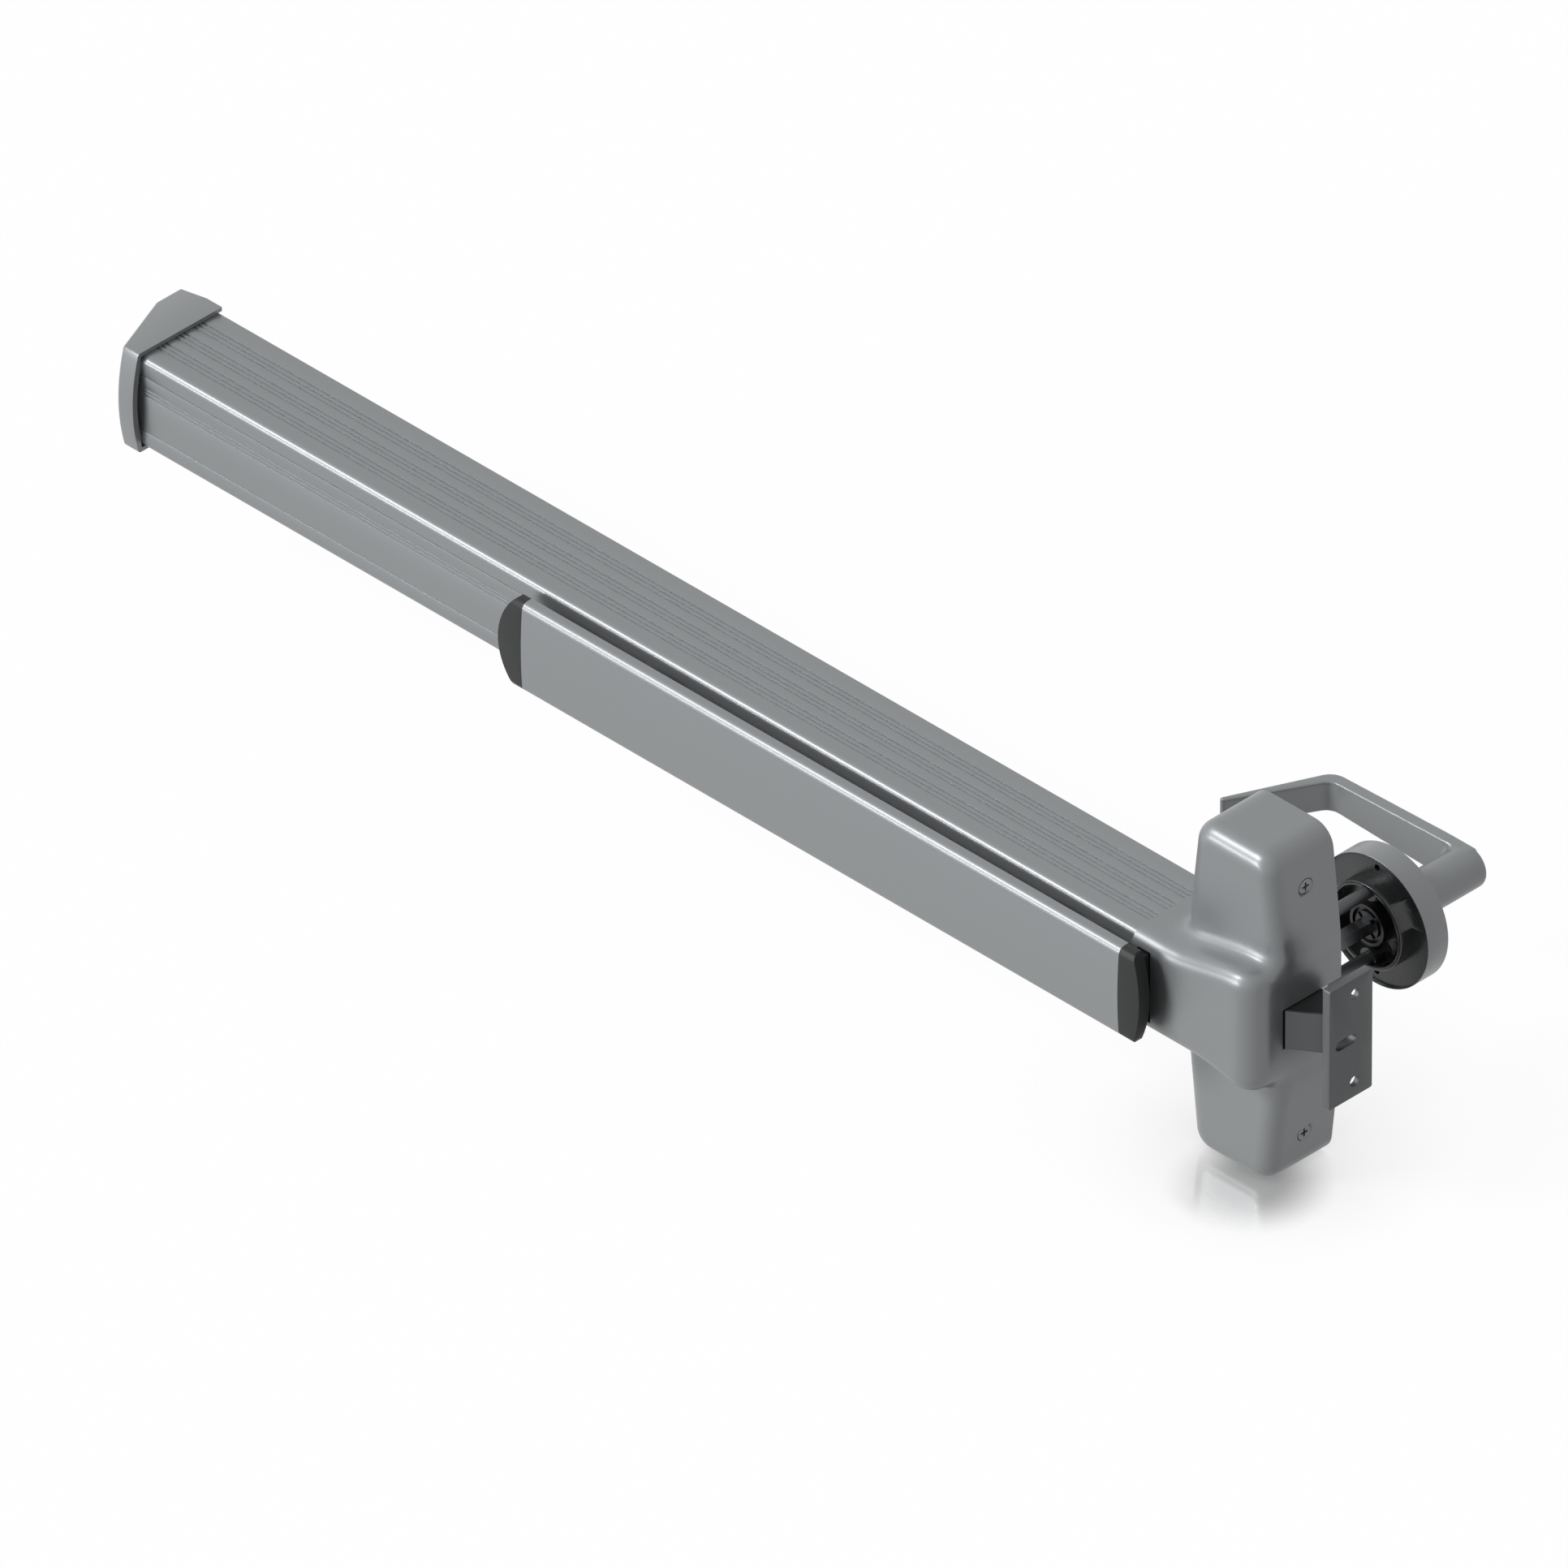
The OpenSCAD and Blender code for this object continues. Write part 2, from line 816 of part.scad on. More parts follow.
// Each leg outline is rounded at the front in both directions
module cover_leg(t) {
    w = cover_half_w - band_step - t;
    back = t > 0 ? 1 : 0;
    intersection() {
        along_y(-leg_depth - 1, back)
            leg_outline(t);
        along_x(-w - 1, w + 1)
            round_rect([-leg_depth + t, -cover_half_h + t], [30, cover_half_h - t], leg_front_r - t);
        along_z(-cover_half_h - 1, cover_half_h + 1)
            round_rect([-w, -leg_depth + t], [w, 30], leg_mid_r - t);
    }
}

module band_profile(half_h, t) {
    round_rect([-band_depth + t, -half_h + t], [20, half_h - t], band_r - t, $fn = hull_fn);
}

module cover_band(t) {
    left = -arm_reach - (t > 0 ? 1 : 0);
    right = cover_half_w - t;
    intersection() {
        hull() {
            along_x(left, left + 1)
                band_profile(arm_half_h, t);
            along_x(right - 13, right)
                band_profile(band_half_h, t);
        }
        along_z(-band_half_h - 1, band_half_h + 1)
            intersection() {
                round_rect([left - 40, -band_depth + t], [right, 30], band_side_r - t);
                translate([left - 1, -band_depth - 1])
                    square([right - left + 2, band_depth + 1 + (t > 0 ? 1 : 0)]);
            }
    }
}

// The mouth of the cover's arm, with its front corners cut off
module mouth_outline() {
    front = case_front - run_gap;
    side = half + 0.2;
    cut = case_corner_r * 0.58;
    polygon([
        [2, -side],
        [front + cut, -side],
        [front, -side + cut],
        [front, side - cut],
        [front + cut, side],
        [2, side]]);
}

module cover_screw_places() {
    for (side = [-1, 1])
        for (z = [-cover_screw_z, cover_screw_z])
            translate([side * (cover_face_x(cover_screw_z) - 0.4), -cover_screw_y, z])
                rotate([0, side * 90, 0])
                    children();
}

// Half width of the cover's side at one height
function cover_face_x(z) =
    let (far = cover_half_h - leg_end_r, wide = cover_half_w - band_step)
    wide - (wide - cover_end_half_w) * (z - leg_mid_z) / (far - leg_mid_z);

module center_cover() {
    color("#8f9294")
    difference() {
        union() {
            cover_leg(0);
            cover_band(0);
        }
        cover_leg(cover_wall);
        cover_band(cover_wall);
        along_x(-arm_reach - 1, -case_start + 1)
            mouth_outline();
        block([cover_half_w - cover_wall - 6, -latch_front - run_gap - 0.9,
            -latch_half_h - slot_gap], [cover_half_w + 2, 2, latch_half_h + slot_gap]);
        block([neck_left - window_gap, -band_depth - 2, -neck_half_h - window_gap],
            [neck_right + window_gap, -band_depth + 8, neck_half_h + window_gap]);
        cover_screw_places() {
            translate([0, 0, -cover_screw_len])
                cylinder(h = 2 * cover_screw_len, r = screw_r + 0.3);
            translate([0, 0, -2.4])
                cylinder(h = 2.9, r1 = screw_r + 0.3, r2 = 5.1);
        }
    }
}

module cover_screws() {
    color("#97999b")
    cover_screw_places()
        translate([0, 0, -0.1])
            flat_screw(4.5, 2.4, screw_r, cover_screw_len);
}

// Latch
module latch_guide() {
    wall_z = latch_half_h + run_gap;
    color("#6f7173")
    union() {
        for (side = [-1, 1])
            block([guide_left, -latch_front - run_gap - guide_t, side > 0 ? wall_z : -wall_z - guide_t],
                [guide_right, case_back, side > 0 ? wall_z + guide_t : -wall_z]);
        block([guide_left, -latch_front - run_gap - guide_t, -wall_z - eps],
            [guide_right, -latch_front - run_gap, wall_z + eps]);
        block([guide_left, -latch_front - run_gap - eps, -wall_z - eps],
            [guide_left + 3, -link_y - link_w / 2 - 1.5, wall_z + eps]);
        rod_x(guide_left + 2, -5, spring_y, 0, 2.2);
    }
}

module latch_plan(t) {
    polygon([
        [latch_tail, -latch_front],
        [latch_out, -latch_front],
        [latch_nose, -latch_tip],
        [latch_nose, -latch_back],
        [latch_tail, -latch_back]]);
}

// The metal face: a sheet along the bevel and the nose
module face_plan() {
    run = latch_nose - latch_out;
    rise = latch_front - latch_tip;
    length = sqrt(run * run + rise * rise);
    nx = -rise / length * face_t;
    ny = run / length * face_t;
    polygon([
        [latch_out, -latch_front],
        [latch_nose, -latch_tip],
        [latch_nose, -latch_back],
        [latch_nose - face_t, -latch_back],
        [latch_nose - face_t, -latch_tip + ny - nx * 0.4],
        [latch_out + nx + face_t, -latch_front + ny + 0.3]]);
}

module latch_bolt() {
    pocket_z = 8.6;
    color("#2b2c2d")
    difference() {
        union() {
            along_z(-latch_half_h, latch_half_h)
                difference() {
                    latch_plan(0);
                    face_plan();
                }
            for (side = [-1, 1])
                block([tail_left, -link_y - link_w / 2, side > 0 ? pocket_z : -latch_half_h + 0.6],
                    [tail_right, -link_y + link_w / 2, side > 0 ? latch_half_h - 0.6 : -pocket_z]);
        }
        block([latch_tail - 1, -link_y - link_w / 2 - 0.5, -pocket_z],
            [hook_x + latch_throw + 8, -latch_back + 5, pocket_z]);
        along_z(-20, 20)
            stadium([hook_x, -link_y], [hook_x + latch_throw, -link_y], fork_pin_r + fork_play);
        rod_x(latch_tail - 1, spring_bore_end, spring_y, 0, spring_bore_r);
    }
}

module latch_face() {
    color("#76787a")
    along_z(-latch_half_h, latch_half_h)
        face_plan();
}

module latch_spring() {
    color("#77797b")
    translate([0, spring_y, 0])
        rotate([0, 90, 0])
            coil(3.6, latch_wire_r, 12, guide_left + 3 + latch_wire_r + 0.1,
                spring_bore_end - latch_wire_r - 0.1);
}

// Strike plate with the keeper that the latch bears on
module strike_plate() {
    far = -strike_y - strike_w;
    slot_y = -27.3;
    slot_r = 3;
    hole_y = -21;
    keeper_left = cover_half_w + 6;
    color("#6b6d6e")
    difference() {
        union() {
            along_x(strike_x - strike_t, strike_x)
                round_rect([far, -strike_h / 2], [-strike_y, strike_h / 2], 1.2);
            block([keeper_left, -latch_back + 0.5, -keeper_half_h],
                [strike_x - strike_t + 0.5, -strike_y - 0.4, keeper_half_h]);
        }
        // pockets that leave a rim round the back
        for (up = [-1, 1])
            block([strike_x - strike_t - 1, far + strike_rim,
                up > 0 ? keeper_half_h + strike_rim : -strike_h / 2 + strike_rim],
                [strike_x - strike_web, -strike_y - strike_rim,
                up > 0 ? strike_h / 2 - strike_rim : -keeper_half_h - strike_rim]);
        for (z = [-strike_hole_z, strike_hole_z])
            rod_x(strike_x - strike_t - 1, strike_x + 1, hole_y, z, strike_hole_r);
        along_x(strike_x - strike_t - 1, strike_x + 1)
            stadium([slot_y - strike_slot_len / 2 + slot_r, 0],
                [slot_y + strike_slot_len / 2 - slot_r, 0], slot_r);
    }
}

// Outside trim
module rose() {
    inner_r = rose_r - rose_wall;
    bevel = 0.9;
    color("#8f9294")
    translate([0, trim_front, 0])
        rotate([90, 0, 0])
            rotate_extrude()
                polygon([
                    [hub_r + 0.4, 0],
                    [rose_r - bevel, 0],
                    [rose_r, bevel],
                    [rose_r, rose_depth],
                    [inner_r, rose_depth],
                    [inner_r, rose_wall],
                    [hub_r + 0.4, rose_wall]]);
}

module trim_chassis() {
    boss_front = door_t - boss_depth;
    boss_in = boss_r - 2.5;
    color("#2b2c2d")
    difference() {
        union() {
            rod_y(chassis_y, chassis_y + chassis_t, 0, 0, rose_r - rose_wall - fit_gap);
            difference() {
                rod_y(boss_front, chassis_y + eps, 0, 0, boss_r);
                rod_y(boss_front - 1, chassis_y, 0, 0, boss_in);
            }
            for (z = [-post_z, post_z])
                intersection() {
                    rod_y(boss_front + 2, chassis_y + eps, 0, z, post_r + 2.2);
                    rod_y(boss_front, chassis_y + eps, 0, 0, boss_r - 1);
                }
        }
        rod_y(boss_front - 1, chassis_y + chassis_t + 1, 0, 0, hub_r + 0.05);
        for (z = [-post_z, post_z])
            rod_y(boss_front - 1, chassis_y + chassis_t + 1, 0, z, post_r + fit_gap);
        for (z = [-32.5, 32.5])
            rod_y(chassis_y - 1, chassis_y + chassis_t + 1, 0, z, 2);
    }
}

module trim_posts() {
    color("#8f9294")
    for (z = [-post_z, post_z])
        difference() {
            rod_y(0, chassis_y + chassis_t, 0, z, post_r);
            rod_y(-1, chassis_y - 10, 0, z, screw_r + fit_gap);
        }
}

module trim_screws() {
    color("#8a8d8f")
    for (z = [-post_z, post_z])
        translate([0, case_back, z])
            rotate([90, 0, 0])
                pan_screw(4, 2.2, screw_r, case_standoff + 25);
}

module spindle() {
    w = spindle_w / 2;
    color("#5a5c5e")
    block([-w, cam_front - 0.5, -w], [w, trim_front - 4, w]);
}

module lift_cam() {
    color("#5f6163")
    difference() {
        along_y(cam_front, cam_back)
            union() {
                circle(r = 8);
                translate([-2.5, 0])
                    square([5, 11.5]);
            }
        block([-spindle_w / 2 - fit_gap, cam_front - 1, -spindle_w / 2 - fit_gap],
            [spindle_w / 2 + fit_gap, cam_back + 1, spindle_w / 2 + fit_gap]);
    }
}

module drive_hub() {
    front = door_t - boss_depth + 1;
    color("#3c3d3f")
    difference() {
        rod_y(front, hub_start, 0, 0, hub_r);
        difference() {
            rod_y(front - 1, front + 2, 0, 0, hub_r - 1.8);
            rod_y(front - 2, front + 3, 0, 0, hub_r - 4);
        }
        for (turn = [45, 135])
            rotate([0, turn, 0])
                block([-hub_r + 2, front - 1, -1.2], [hub_r - 2, front + 1.5, 1.2]);
        block([-spindle_w / 2 - fit_gap, front - 1, -spindle_w / 2 - fit_gap],
            [spindle_w / 2 + fit_gap, trim_front - 3, spindle_w / 2 + fit_gap]);
    }
}

module lever_spring() {
    wire = 1;
    color("#77797b")
    rotate([-90, 0, 0])
        coil(spring_coil_r, wire, 2, chassis_y + chassis_t + wire + 0.2,
            trim_front - rose_wall - wire - 0.2);
}

// Arc points about a centre
function arc(centre, r, from, to, steps) =
    [for (i = [0:steps])
        let (a = from + (to - from) * i / steps)
        [centre[0] + r * cos(a), centre[1] + r * sin(a)]];

module grip_plan() {
    bend_x = -grip_len;
    tip_x = bend_x - return_run;
    inner_y = lever_y - grip_t;
    drop = lever_y - tip_y;
    turn = atan2(drop, return_run);
    outer_r = 10;
    inner_r = 8;
    // distance from the corner to where a bend's arc starts
    outer_cut = outer_r * tan((180 - (180 - turn)) / 2);
    inner_x = bend_x + grip_t * 0.55;
    inner_cut = inner_r * tan(turn / 2);
    polygon(concat(
        [[0, inner_y], [0, lever_y]],
        arc([bend_x + outer_cut, lever_y - outer_r], outer_r, 90, 90 + turn, 8),
        [[tip_x, tip_y], [tip_x + tip_t, tip_y - 1]],
        arc([inner_x + inner_cut, inner_y - inner_r], inner_r, 90 + turn, 90, 6)));
}

module grip_front() {
    tip_x = -grip_len - return_run - 2;
    polygon([
        [2, -grip_half_h],
        [2, grip_half_h],
        [-grip_len + 8, grip_end_half_h],
        [tip_x, grip_end_half_h - 0.4],
        [tip_x, -grip_end_half_h + 0.4],
        [-grip_len + 8, -grip_end_half_h]]);
}

module lever() {
    color("#8f9294")
    union() {
        intersection() {
            along_z(-grip_half_h - 1, grip_half_h + 1)
                grip_plan();
            along_y(tip_y - 5, lever_y + 5)
                grip_front();
        }
        translate([0, lever_y, 0])
            rotate([90, 0, 0])
                rotate_extrude()
                    polygon([
                        [0, 0],
                        [hub_r - 1.5, 0],
                        [hub_r, 1.5],
                        [hub_r, lever_y - hub_start],
                        [0, lever_y - hub_start]]);
    }
}

mechanism_case();
case_filler();
case_screws();
end_cap();
end_bracket();
end_cap_screw();
touch_pad();
pad_end_left();
pad_end_right();
pad_carrier_left();
pad_carrier_right();
carrier_pins();
crank_bracket_left();
crank_bracket_right();
crank_pins();
crank_left();
crank_right();
crank_springs();
link_rod();
link_pins();
base_plate();
center_cover();
cover_screws();
latch_guide();
latch_bolt();
latch_face();
latch_spring();
strike_plate();
rose();
trim_chassis();
trim_posts();
trim_screws();
spindle();
lift_cam();
drive_hub();
lever_spring();
lever();
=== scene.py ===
import json
import math

import bmesh
import bpy
from bpy.props import FloatProperty, FloatVectorProperty, IntProperty, PointerProperty
from mathutils import Matrix, Vector


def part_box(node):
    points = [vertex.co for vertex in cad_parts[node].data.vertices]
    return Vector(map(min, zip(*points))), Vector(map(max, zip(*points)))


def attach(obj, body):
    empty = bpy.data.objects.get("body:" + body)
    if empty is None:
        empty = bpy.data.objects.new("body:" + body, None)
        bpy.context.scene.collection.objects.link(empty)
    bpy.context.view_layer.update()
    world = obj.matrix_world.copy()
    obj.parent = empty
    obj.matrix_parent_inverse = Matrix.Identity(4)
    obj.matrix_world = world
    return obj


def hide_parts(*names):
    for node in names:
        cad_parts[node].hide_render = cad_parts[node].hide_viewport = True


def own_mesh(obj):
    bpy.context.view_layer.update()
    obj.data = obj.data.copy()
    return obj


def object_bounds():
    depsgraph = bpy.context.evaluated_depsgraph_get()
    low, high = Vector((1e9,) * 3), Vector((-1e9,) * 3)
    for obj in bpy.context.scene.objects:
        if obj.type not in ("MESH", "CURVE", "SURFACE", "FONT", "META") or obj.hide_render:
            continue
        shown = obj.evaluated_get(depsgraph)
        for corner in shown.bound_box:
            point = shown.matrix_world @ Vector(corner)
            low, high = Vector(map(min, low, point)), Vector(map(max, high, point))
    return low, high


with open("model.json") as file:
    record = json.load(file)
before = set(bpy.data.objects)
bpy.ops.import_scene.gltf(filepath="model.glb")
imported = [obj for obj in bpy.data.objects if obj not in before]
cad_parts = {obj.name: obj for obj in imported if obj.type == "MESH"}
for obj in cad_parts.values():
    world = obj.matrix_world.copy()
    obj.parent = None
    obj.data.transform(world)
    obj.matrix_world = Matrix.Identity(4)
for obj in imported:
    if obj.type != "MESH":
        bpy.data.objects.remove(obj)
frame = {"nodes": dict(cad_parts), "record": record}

bl_info = {
    "name": "Touch-bar exit device",
    "version": (1, 0, 0),
    "blender": (4, 5, 0),
    "location": "View3D > Sidebar > Exit device",
    "description": "Builds the visible pieces of a touch-bar exit device with lever trim",
    "category": "Object",
}

CAD_BOX = [list(corner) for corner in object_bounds()]
MM = 0.001          # a millimetre, in Blender's metres
FINE = 1e-6         # points nearer than this, in metres, are one
SMOOTH_ANGLE = 32   # edges of fewer degrees look smooth
WHITE = (1, 1, 1, 1)


# Colours and materials

def linear(colour):
    """Turns an sRGB hex value into the linear colour that shaders take."""
    parts = [int(colour[i:i + 2], 16) / 255 for i in (1, 3, 5)]
    return [p / 12.92 if p <= 0.04045 else ((p + 0.055) / 1.055) ** 2.4 for p in parts] + [1]


def add_node(tree, kind, settings=None, inputs=None):
    """Adds a node, sets its options, and sets its inputs or links them to sockets or nodes."""
    node = tree.nodes.new(kind)
    for key, value in (settings or {}).items():
        setattr(node, key, value)
    for key, value in (inputs or {}).items():
        if isinstance(value, bpy.types.Node):
            value = value.outputs[0]
        if isinstance(value, bpy.types.NodeSocket):
            tree.links.new(value, node.inputs[key])
        else:
            node.inputs[key].default_value = value
    return node


GRAIN_SHARE = 0.45  # how much of a finish's pattern is the fine one

# Each finish: two colours that lie close together, the size of its fine pattern along X, Y and Z
# and that of its clouds, in millimetres, and how its surface takes the light. Real brush lines, die
# lines and spark-eroded grain are about 0.1 mm wide, too fine to show, so they are drawn coarser
FINISHES = {
    # Silver powder coat on a zinc casting: an even satin grey with a faint orange peel
    "silver_powder_coat": dict(
        colours=("#8b8e90", "#939698"), grain=(1.1, 1.1, 1.1), cloud=38, metallic=0.35,
        roughness=(0.33, 0.41), bump=0.035, coat=0.12),
    # Anodised aluminium extrusion, brushed lengthways: fine lines along X in a satin sheen
    "anodised_extrusion": dict(
        colours=("#909395", "#919496"), grain=(260, 0.7, 0.7), cloud=160, metallic=0.4,
        roughness=(0.32, 0.34), bump=0.0005, coat=0),
    # Anodised aluminium pad, brushed lengthways and a little smoother where hands push it
    "anodised_pad": dict(
        colours=("#919496", "#929597"), grain=(260, 0.7, 0.7), cloud=160, metallic=0.35,
        roughness=(0.33, 0.36), bump=0.002, coat=0),
    # Moulded black ABS with a spark-eroded grain: soft and nearly without shine
    "moulded_abs": dict(
        colours=("#282929", "#2e2f30"), grain=(0.9, 0.9, 0.9), cloud=20, metallic=0,
        roughness=(0.44, 0.56), bump=0.03, coat=0, specular=0.3),
    # Black painted steel of the latch: dark with a semi-gloss skin
    "black_enamel": dict(
        colours=("#191a1b", "#202123"), grain=(1.6, 1.6, 1.6), cloud=16, metallic=0,
        roughness=(0.30, 0.42), bump=0.03, coat=0),
    # Dark grey enamel on the pressed chassis and its boss: satin, with a soft even sheen
    "chassis_enamel": dict(
        colours=("#303133", "#3a3b3c"), grain=(1.4, 1.4, 1.4), cloud=18, metallic=0.3,
        roughness=(0.22, 0.32), bump=0.02, coat=0.3),
    # Steel face of the latch, ground across its height: dark grey with a dull sheen
    "ground_steel": dict(
        colours=("#5a5c5e", "#626466"), grain=(0.7, 0.7, 14), cloud=12, metallic=0.6,
        roughness=(0.34, 0.46), bump=0.02, coat=0),
    # Grey painted strike plate: flat, even and matt
    "strike_enamel": dict(
        colours=("#5f6163", "#666869"), grain=(1.2, 1.2, 1.2), cloud=24, metallic=0.2,
        roughness=(0.40, 0.50), bump=0.025, coat=0),
    # Zinc plated steel of brackets and screws: cool grey with a slight cloudiness
    "zinc_plate": dict(
        colours=("#8e9294", "#a2a5a6"), grain=(1.4, 1.4, 1.4), cloud=9, metallic=0.85,
        roughness=(0.28, 0.42), bump=0.02, coat=0),
    # Drawn spring wire: dark steel with die lines
    "spring_wire": dict(
        colours=("#57595b", "#66686a"), grain=(0.8, 0.8, 3), cloud=6, metallic=0.9,
        roughness=(0.25, 0.38), bump=0.015, coat=0),
}

SLOT_FINISHES = {
    "silver_paint": "silver_powder_coat",
    "case_aluminium": "anodised_extrusion",
    "pad_aluminium": "anodised_pad",
    "black_plastic": "moulded_abs",
    "black_metal": "black_enamel",
    "latch_steel": "ground_steel",
    "strike_grey": "strike_enamel",
    "plated_steel": "zinc_plate",
    "spring_steel": "spring_wire",
}

# Nodes whose surface differs from the rest of their slot
NODE_FINISHES = {"trim_posts": "ground_steel", "trim_chassis": "chassis_enamel"}


def finish_material(name):
    """Returns a finish's procedural material, and makes it the first time."""
    material = bpy.data.materials.get(name)
    if material:
        return material
    look = FINISHES[name]
    material = bpy.data.materials.new(name)
    material.use_nodes = True
    tree = material.node_tree
    tree.nodes.clear()
    place = add_node(tree, "ShaderNodeTexCoord").outputs["Object"]
    grain_scale = [1 / (size * MM) for size in look["grain"]]
    grain_place = add_node(tree, "ShaderNodeMapping", None, {"Vector": place, "Scale": grain_scale})
    grain = add_node(tree, "ShaderNodeTexNoise", None,
                     {"Vector": grain_place, "Scale": 1.0, "Detail": 2.0, "Roughness": 0.55})
    cloud = add_node(tree, "ShaderNodeTexNoise", None,
                     {"Vector": place, "Scale": 1 / (look["cloud"] * MM), "Detail": 3.0})
    fine = add_node(tree, "ShaderNodeMath", {"operation": "MULTIPLY"},
                    {0: grain.outputs["Fac"], 1: GRAIN_SHARE})
    blend = add_node(tree, "ShaderNodeMath", {"operation": "MULTIPLY_ADD"},
                     {0: cloud.outputs["Fac"], 1: 1 - GRAIN_SHARE, 2: fine})
    first, second = (linear(colour) for colour in look["colours"])
    colour = add_node(tree, "ShaderNodeMix", {"data_type": "RGBA"}, {0: blend, 6: first, 7: second})
    low, high = look["roughness"]
    rough = add_node(tree, "ShaderNodeMapRange", None,
                     {"Value": blend, "From Min": 0.3, "From Max": 0.7,
                      "To Min": low, "To Max": high})
    bump = add_node(tree, "ShaderNodeBump", None,
                    {"Height": grain.outputs["Fac"], "Strength": 0.35,
                     "Distance": look["bump"] * MM})
    shader = add_node(tree, "ShaderNodeBsdfPrincipled", None,
                      {"Base Color": colour.outputs[2], "Metallic": look["metallic"],
                       "Roughness": rough, "Normal": bump,
                       "Specular IOR Level": look.get("specular", 0.5),
                       "Coat Weight": look["coat"], "Coat Roughness": 0.25})
    add_node(tree, "ShaderNodeOutputMaterial", None, {"Surface": shader})
    material.diffuse_color = first
    return material


# Mesh tools

def prism(outline, axis, start, end):
    """Extrudes an outline in millimetres along X, Y or Z."""
    order = {"X": (2, 0, 1), "Y": (0, 2, 1), "Z": (0, 1, 2)}[axis]
    bm = bmesh.new()
    verts = []
    for u, v in outline:
        flat = (u * MM, v * MM, start * MM)
        verts.append(bm.verts.new([flat[i] for i in order]))
    made = bmesh.ops.extrude_face_region(bm, geom=[bm.faces.new(verts)])
    moved = [part for part in made["geom"] if isinstance(part, bmesh.types.BMVert)]
    shift = Vector([(0, 0, (end - start) * MM)[i] for i in order])
    bmesh.ops.translate(bm, verts=moved, vec=shift)
    bmesh.ops.recalc_face_normals(bm, faces=bm.faces)
    return bm


def block(x, y, z):
    """A box between two values of X, of Y and of Z, in millimetres."""
    return prism([(y[0], z[0]), (y[1], z[0]), (y[1], z[1]), (y[0], z[1])], "X", *x)


def taper(centre, side, radii, depth, segments):
    """A cone along X about a centre in metres, with its second radius toward a side."""
    bm = bmesh.new()
    bmesh.ops.create_cone(bm, cap_ends=True, segments=segments, radius1=radii[0] * MM,
                          radius2=radii[1] * MM, depth=depth * MM)
    bmesh.ops.rotate(bm, verts=bm.verts, cent=(0, 0, 0),
                     matrix=Matrix.Rotation(side * math.pi / 2, 3, "Y"))
    bmesh.ops.translate(bm, verts=bm.verts, vec=centre)
    return bm


def turned(profile, steps):
    """Spins a closed profile of (radius, y) points in millimetres about the lever's axis."""
    bm = bmesh.new()
    verts = [bm.verts.new((r * MM, y * MM, 0)) for r, y in profile]
    edges = [bm.edges.new((verts[i - 1], verts[i])) for i in range(len(verts))]
    bmesh.ops.spin(bm, geom=verts + edges, cent=(0, 0, 0), axis=(0, 1, 0), dvec=(0, 0, 0),
                   angle=math.tau, steps=steps, use_merge=True)
    bmesh.ops.remove_doubles(bm, verts=bm.verts, dist=FINE)
    bmesh.ops.recalc_face_normals(bm, faces=bm.faces)
    return bm


def coil(centre, axis, mean_radius, wire_radius, turns, start, end):
    """Screws a round wire section about an axis, with closed ends."""
    steps = 36      # in each turn
    bm = bmesh.new()
    section = bmesh.ops.create_circle(bm, cap_ends=True, segments=12, radius=wire_radius * MM)
    bmesh.ops.rotate(bm, verts=section["verts"], cent=(0, 0, 0),
                     matrix=Matrix.Rotation(math.pi / 2, 3, "X"))
    bmesh.ops.translate(bm, verts=section["verts"], vec=(mean_radius * MM, 0, start * MM))
    count = int(turns * steps)
    bmesh.ops.spin(bm, geom=bm.faces[:] + bm.edges[:] + bm.verts[:], cent=(0, 0, 0), axis=(0, 0, 1),
                   dvec=(0, 0, (end - start) * MM / count), angle=math.tau * turns, steps=count,
                   use_merge=False, use_duplicate=False)
    turn = Vector((0, 0, 1)).rotation_difference(Vector(axis)).to_matrix()
    bmesh.ops.rotate(bm, verts=bm.verts, cent=(0, 0, 0), matrix=turn)
    bmesh.ops.translate(bm, verts=bm.verts, vec=Vector(centre) * MM)
    bmesh.ops.recalc_face_normals(bm, faces=bm.faces)
    return bm


def join_faces(bm, angle):
    """Merges doubled points, and faces that meet at less than an angle in degrees."""
    bmesh.ops.remove_doubles(bm, verts=bm.verts, dist=2 * FINE)
    bmesh.ops.dissolve_limit(bm, angle_limit=math.radians(angle), verts=bm.verts, edges=bm.edges)


def merged_node(node):
    """A copy of a CAD node's form, with its triangles joined into faces."""
    bm = bmesh.new()
    bm.from_mesh(frame["nodes"][node].data)
    join_faces(bm, 0.5)
    return bm


def same(one, other):
    """Whether two measures in millimetres agree."""
    return abs(one - other) < 0.01


def wholly(edge, test):
    """Whether both ends of an edge, in millimetres, pass a test."""
    return all(test(vert.co / MM) for vert in edge.verts)


def runs_along_x(edge):
    """Whether an edge is more than a millimetre long in X."""
    return abs(edge.verts[0].co.x - edge.verts[1].co.x) > MM


def edges_where(bm, test):
    """The edges that wholly pass a test."""
    return [edge for edge in bm.edges if wholly(edge, test)]


def sharp_edges(bm, angle):
    """The edges whose two faces meet at more than an angle in degrees."""
    limit = math.radians(angle)
    return [edge for edge in bm.edges
            if len(edge.link_faces) == 2 and edge.calc_face_angle(0) > limit]


def round_off(bm, edges, radius, segments=4, clamp=True):
    """Rounds edges to a radius in millimetres, or with the clamp to what there is room for."""
    bmesh.ops.bevel(bm, geom=edges, offset=radius * MM, offset_type="OFFSET", segments=segments,
                    profile=0.5, affect="EDGES", material=-1, clamp_overlap=clamp)


def work_object(bm, name):
    """Puts a form into the scene for a modifier to use."""
    mesh = bpy.data.meshes.new(name)
    bm.to_mesh(mesh)
    bm.free()
    work = bpy.data.objects.new(name, mesh)
    bpy.context.scene.collection.objects.link(work)
    return work


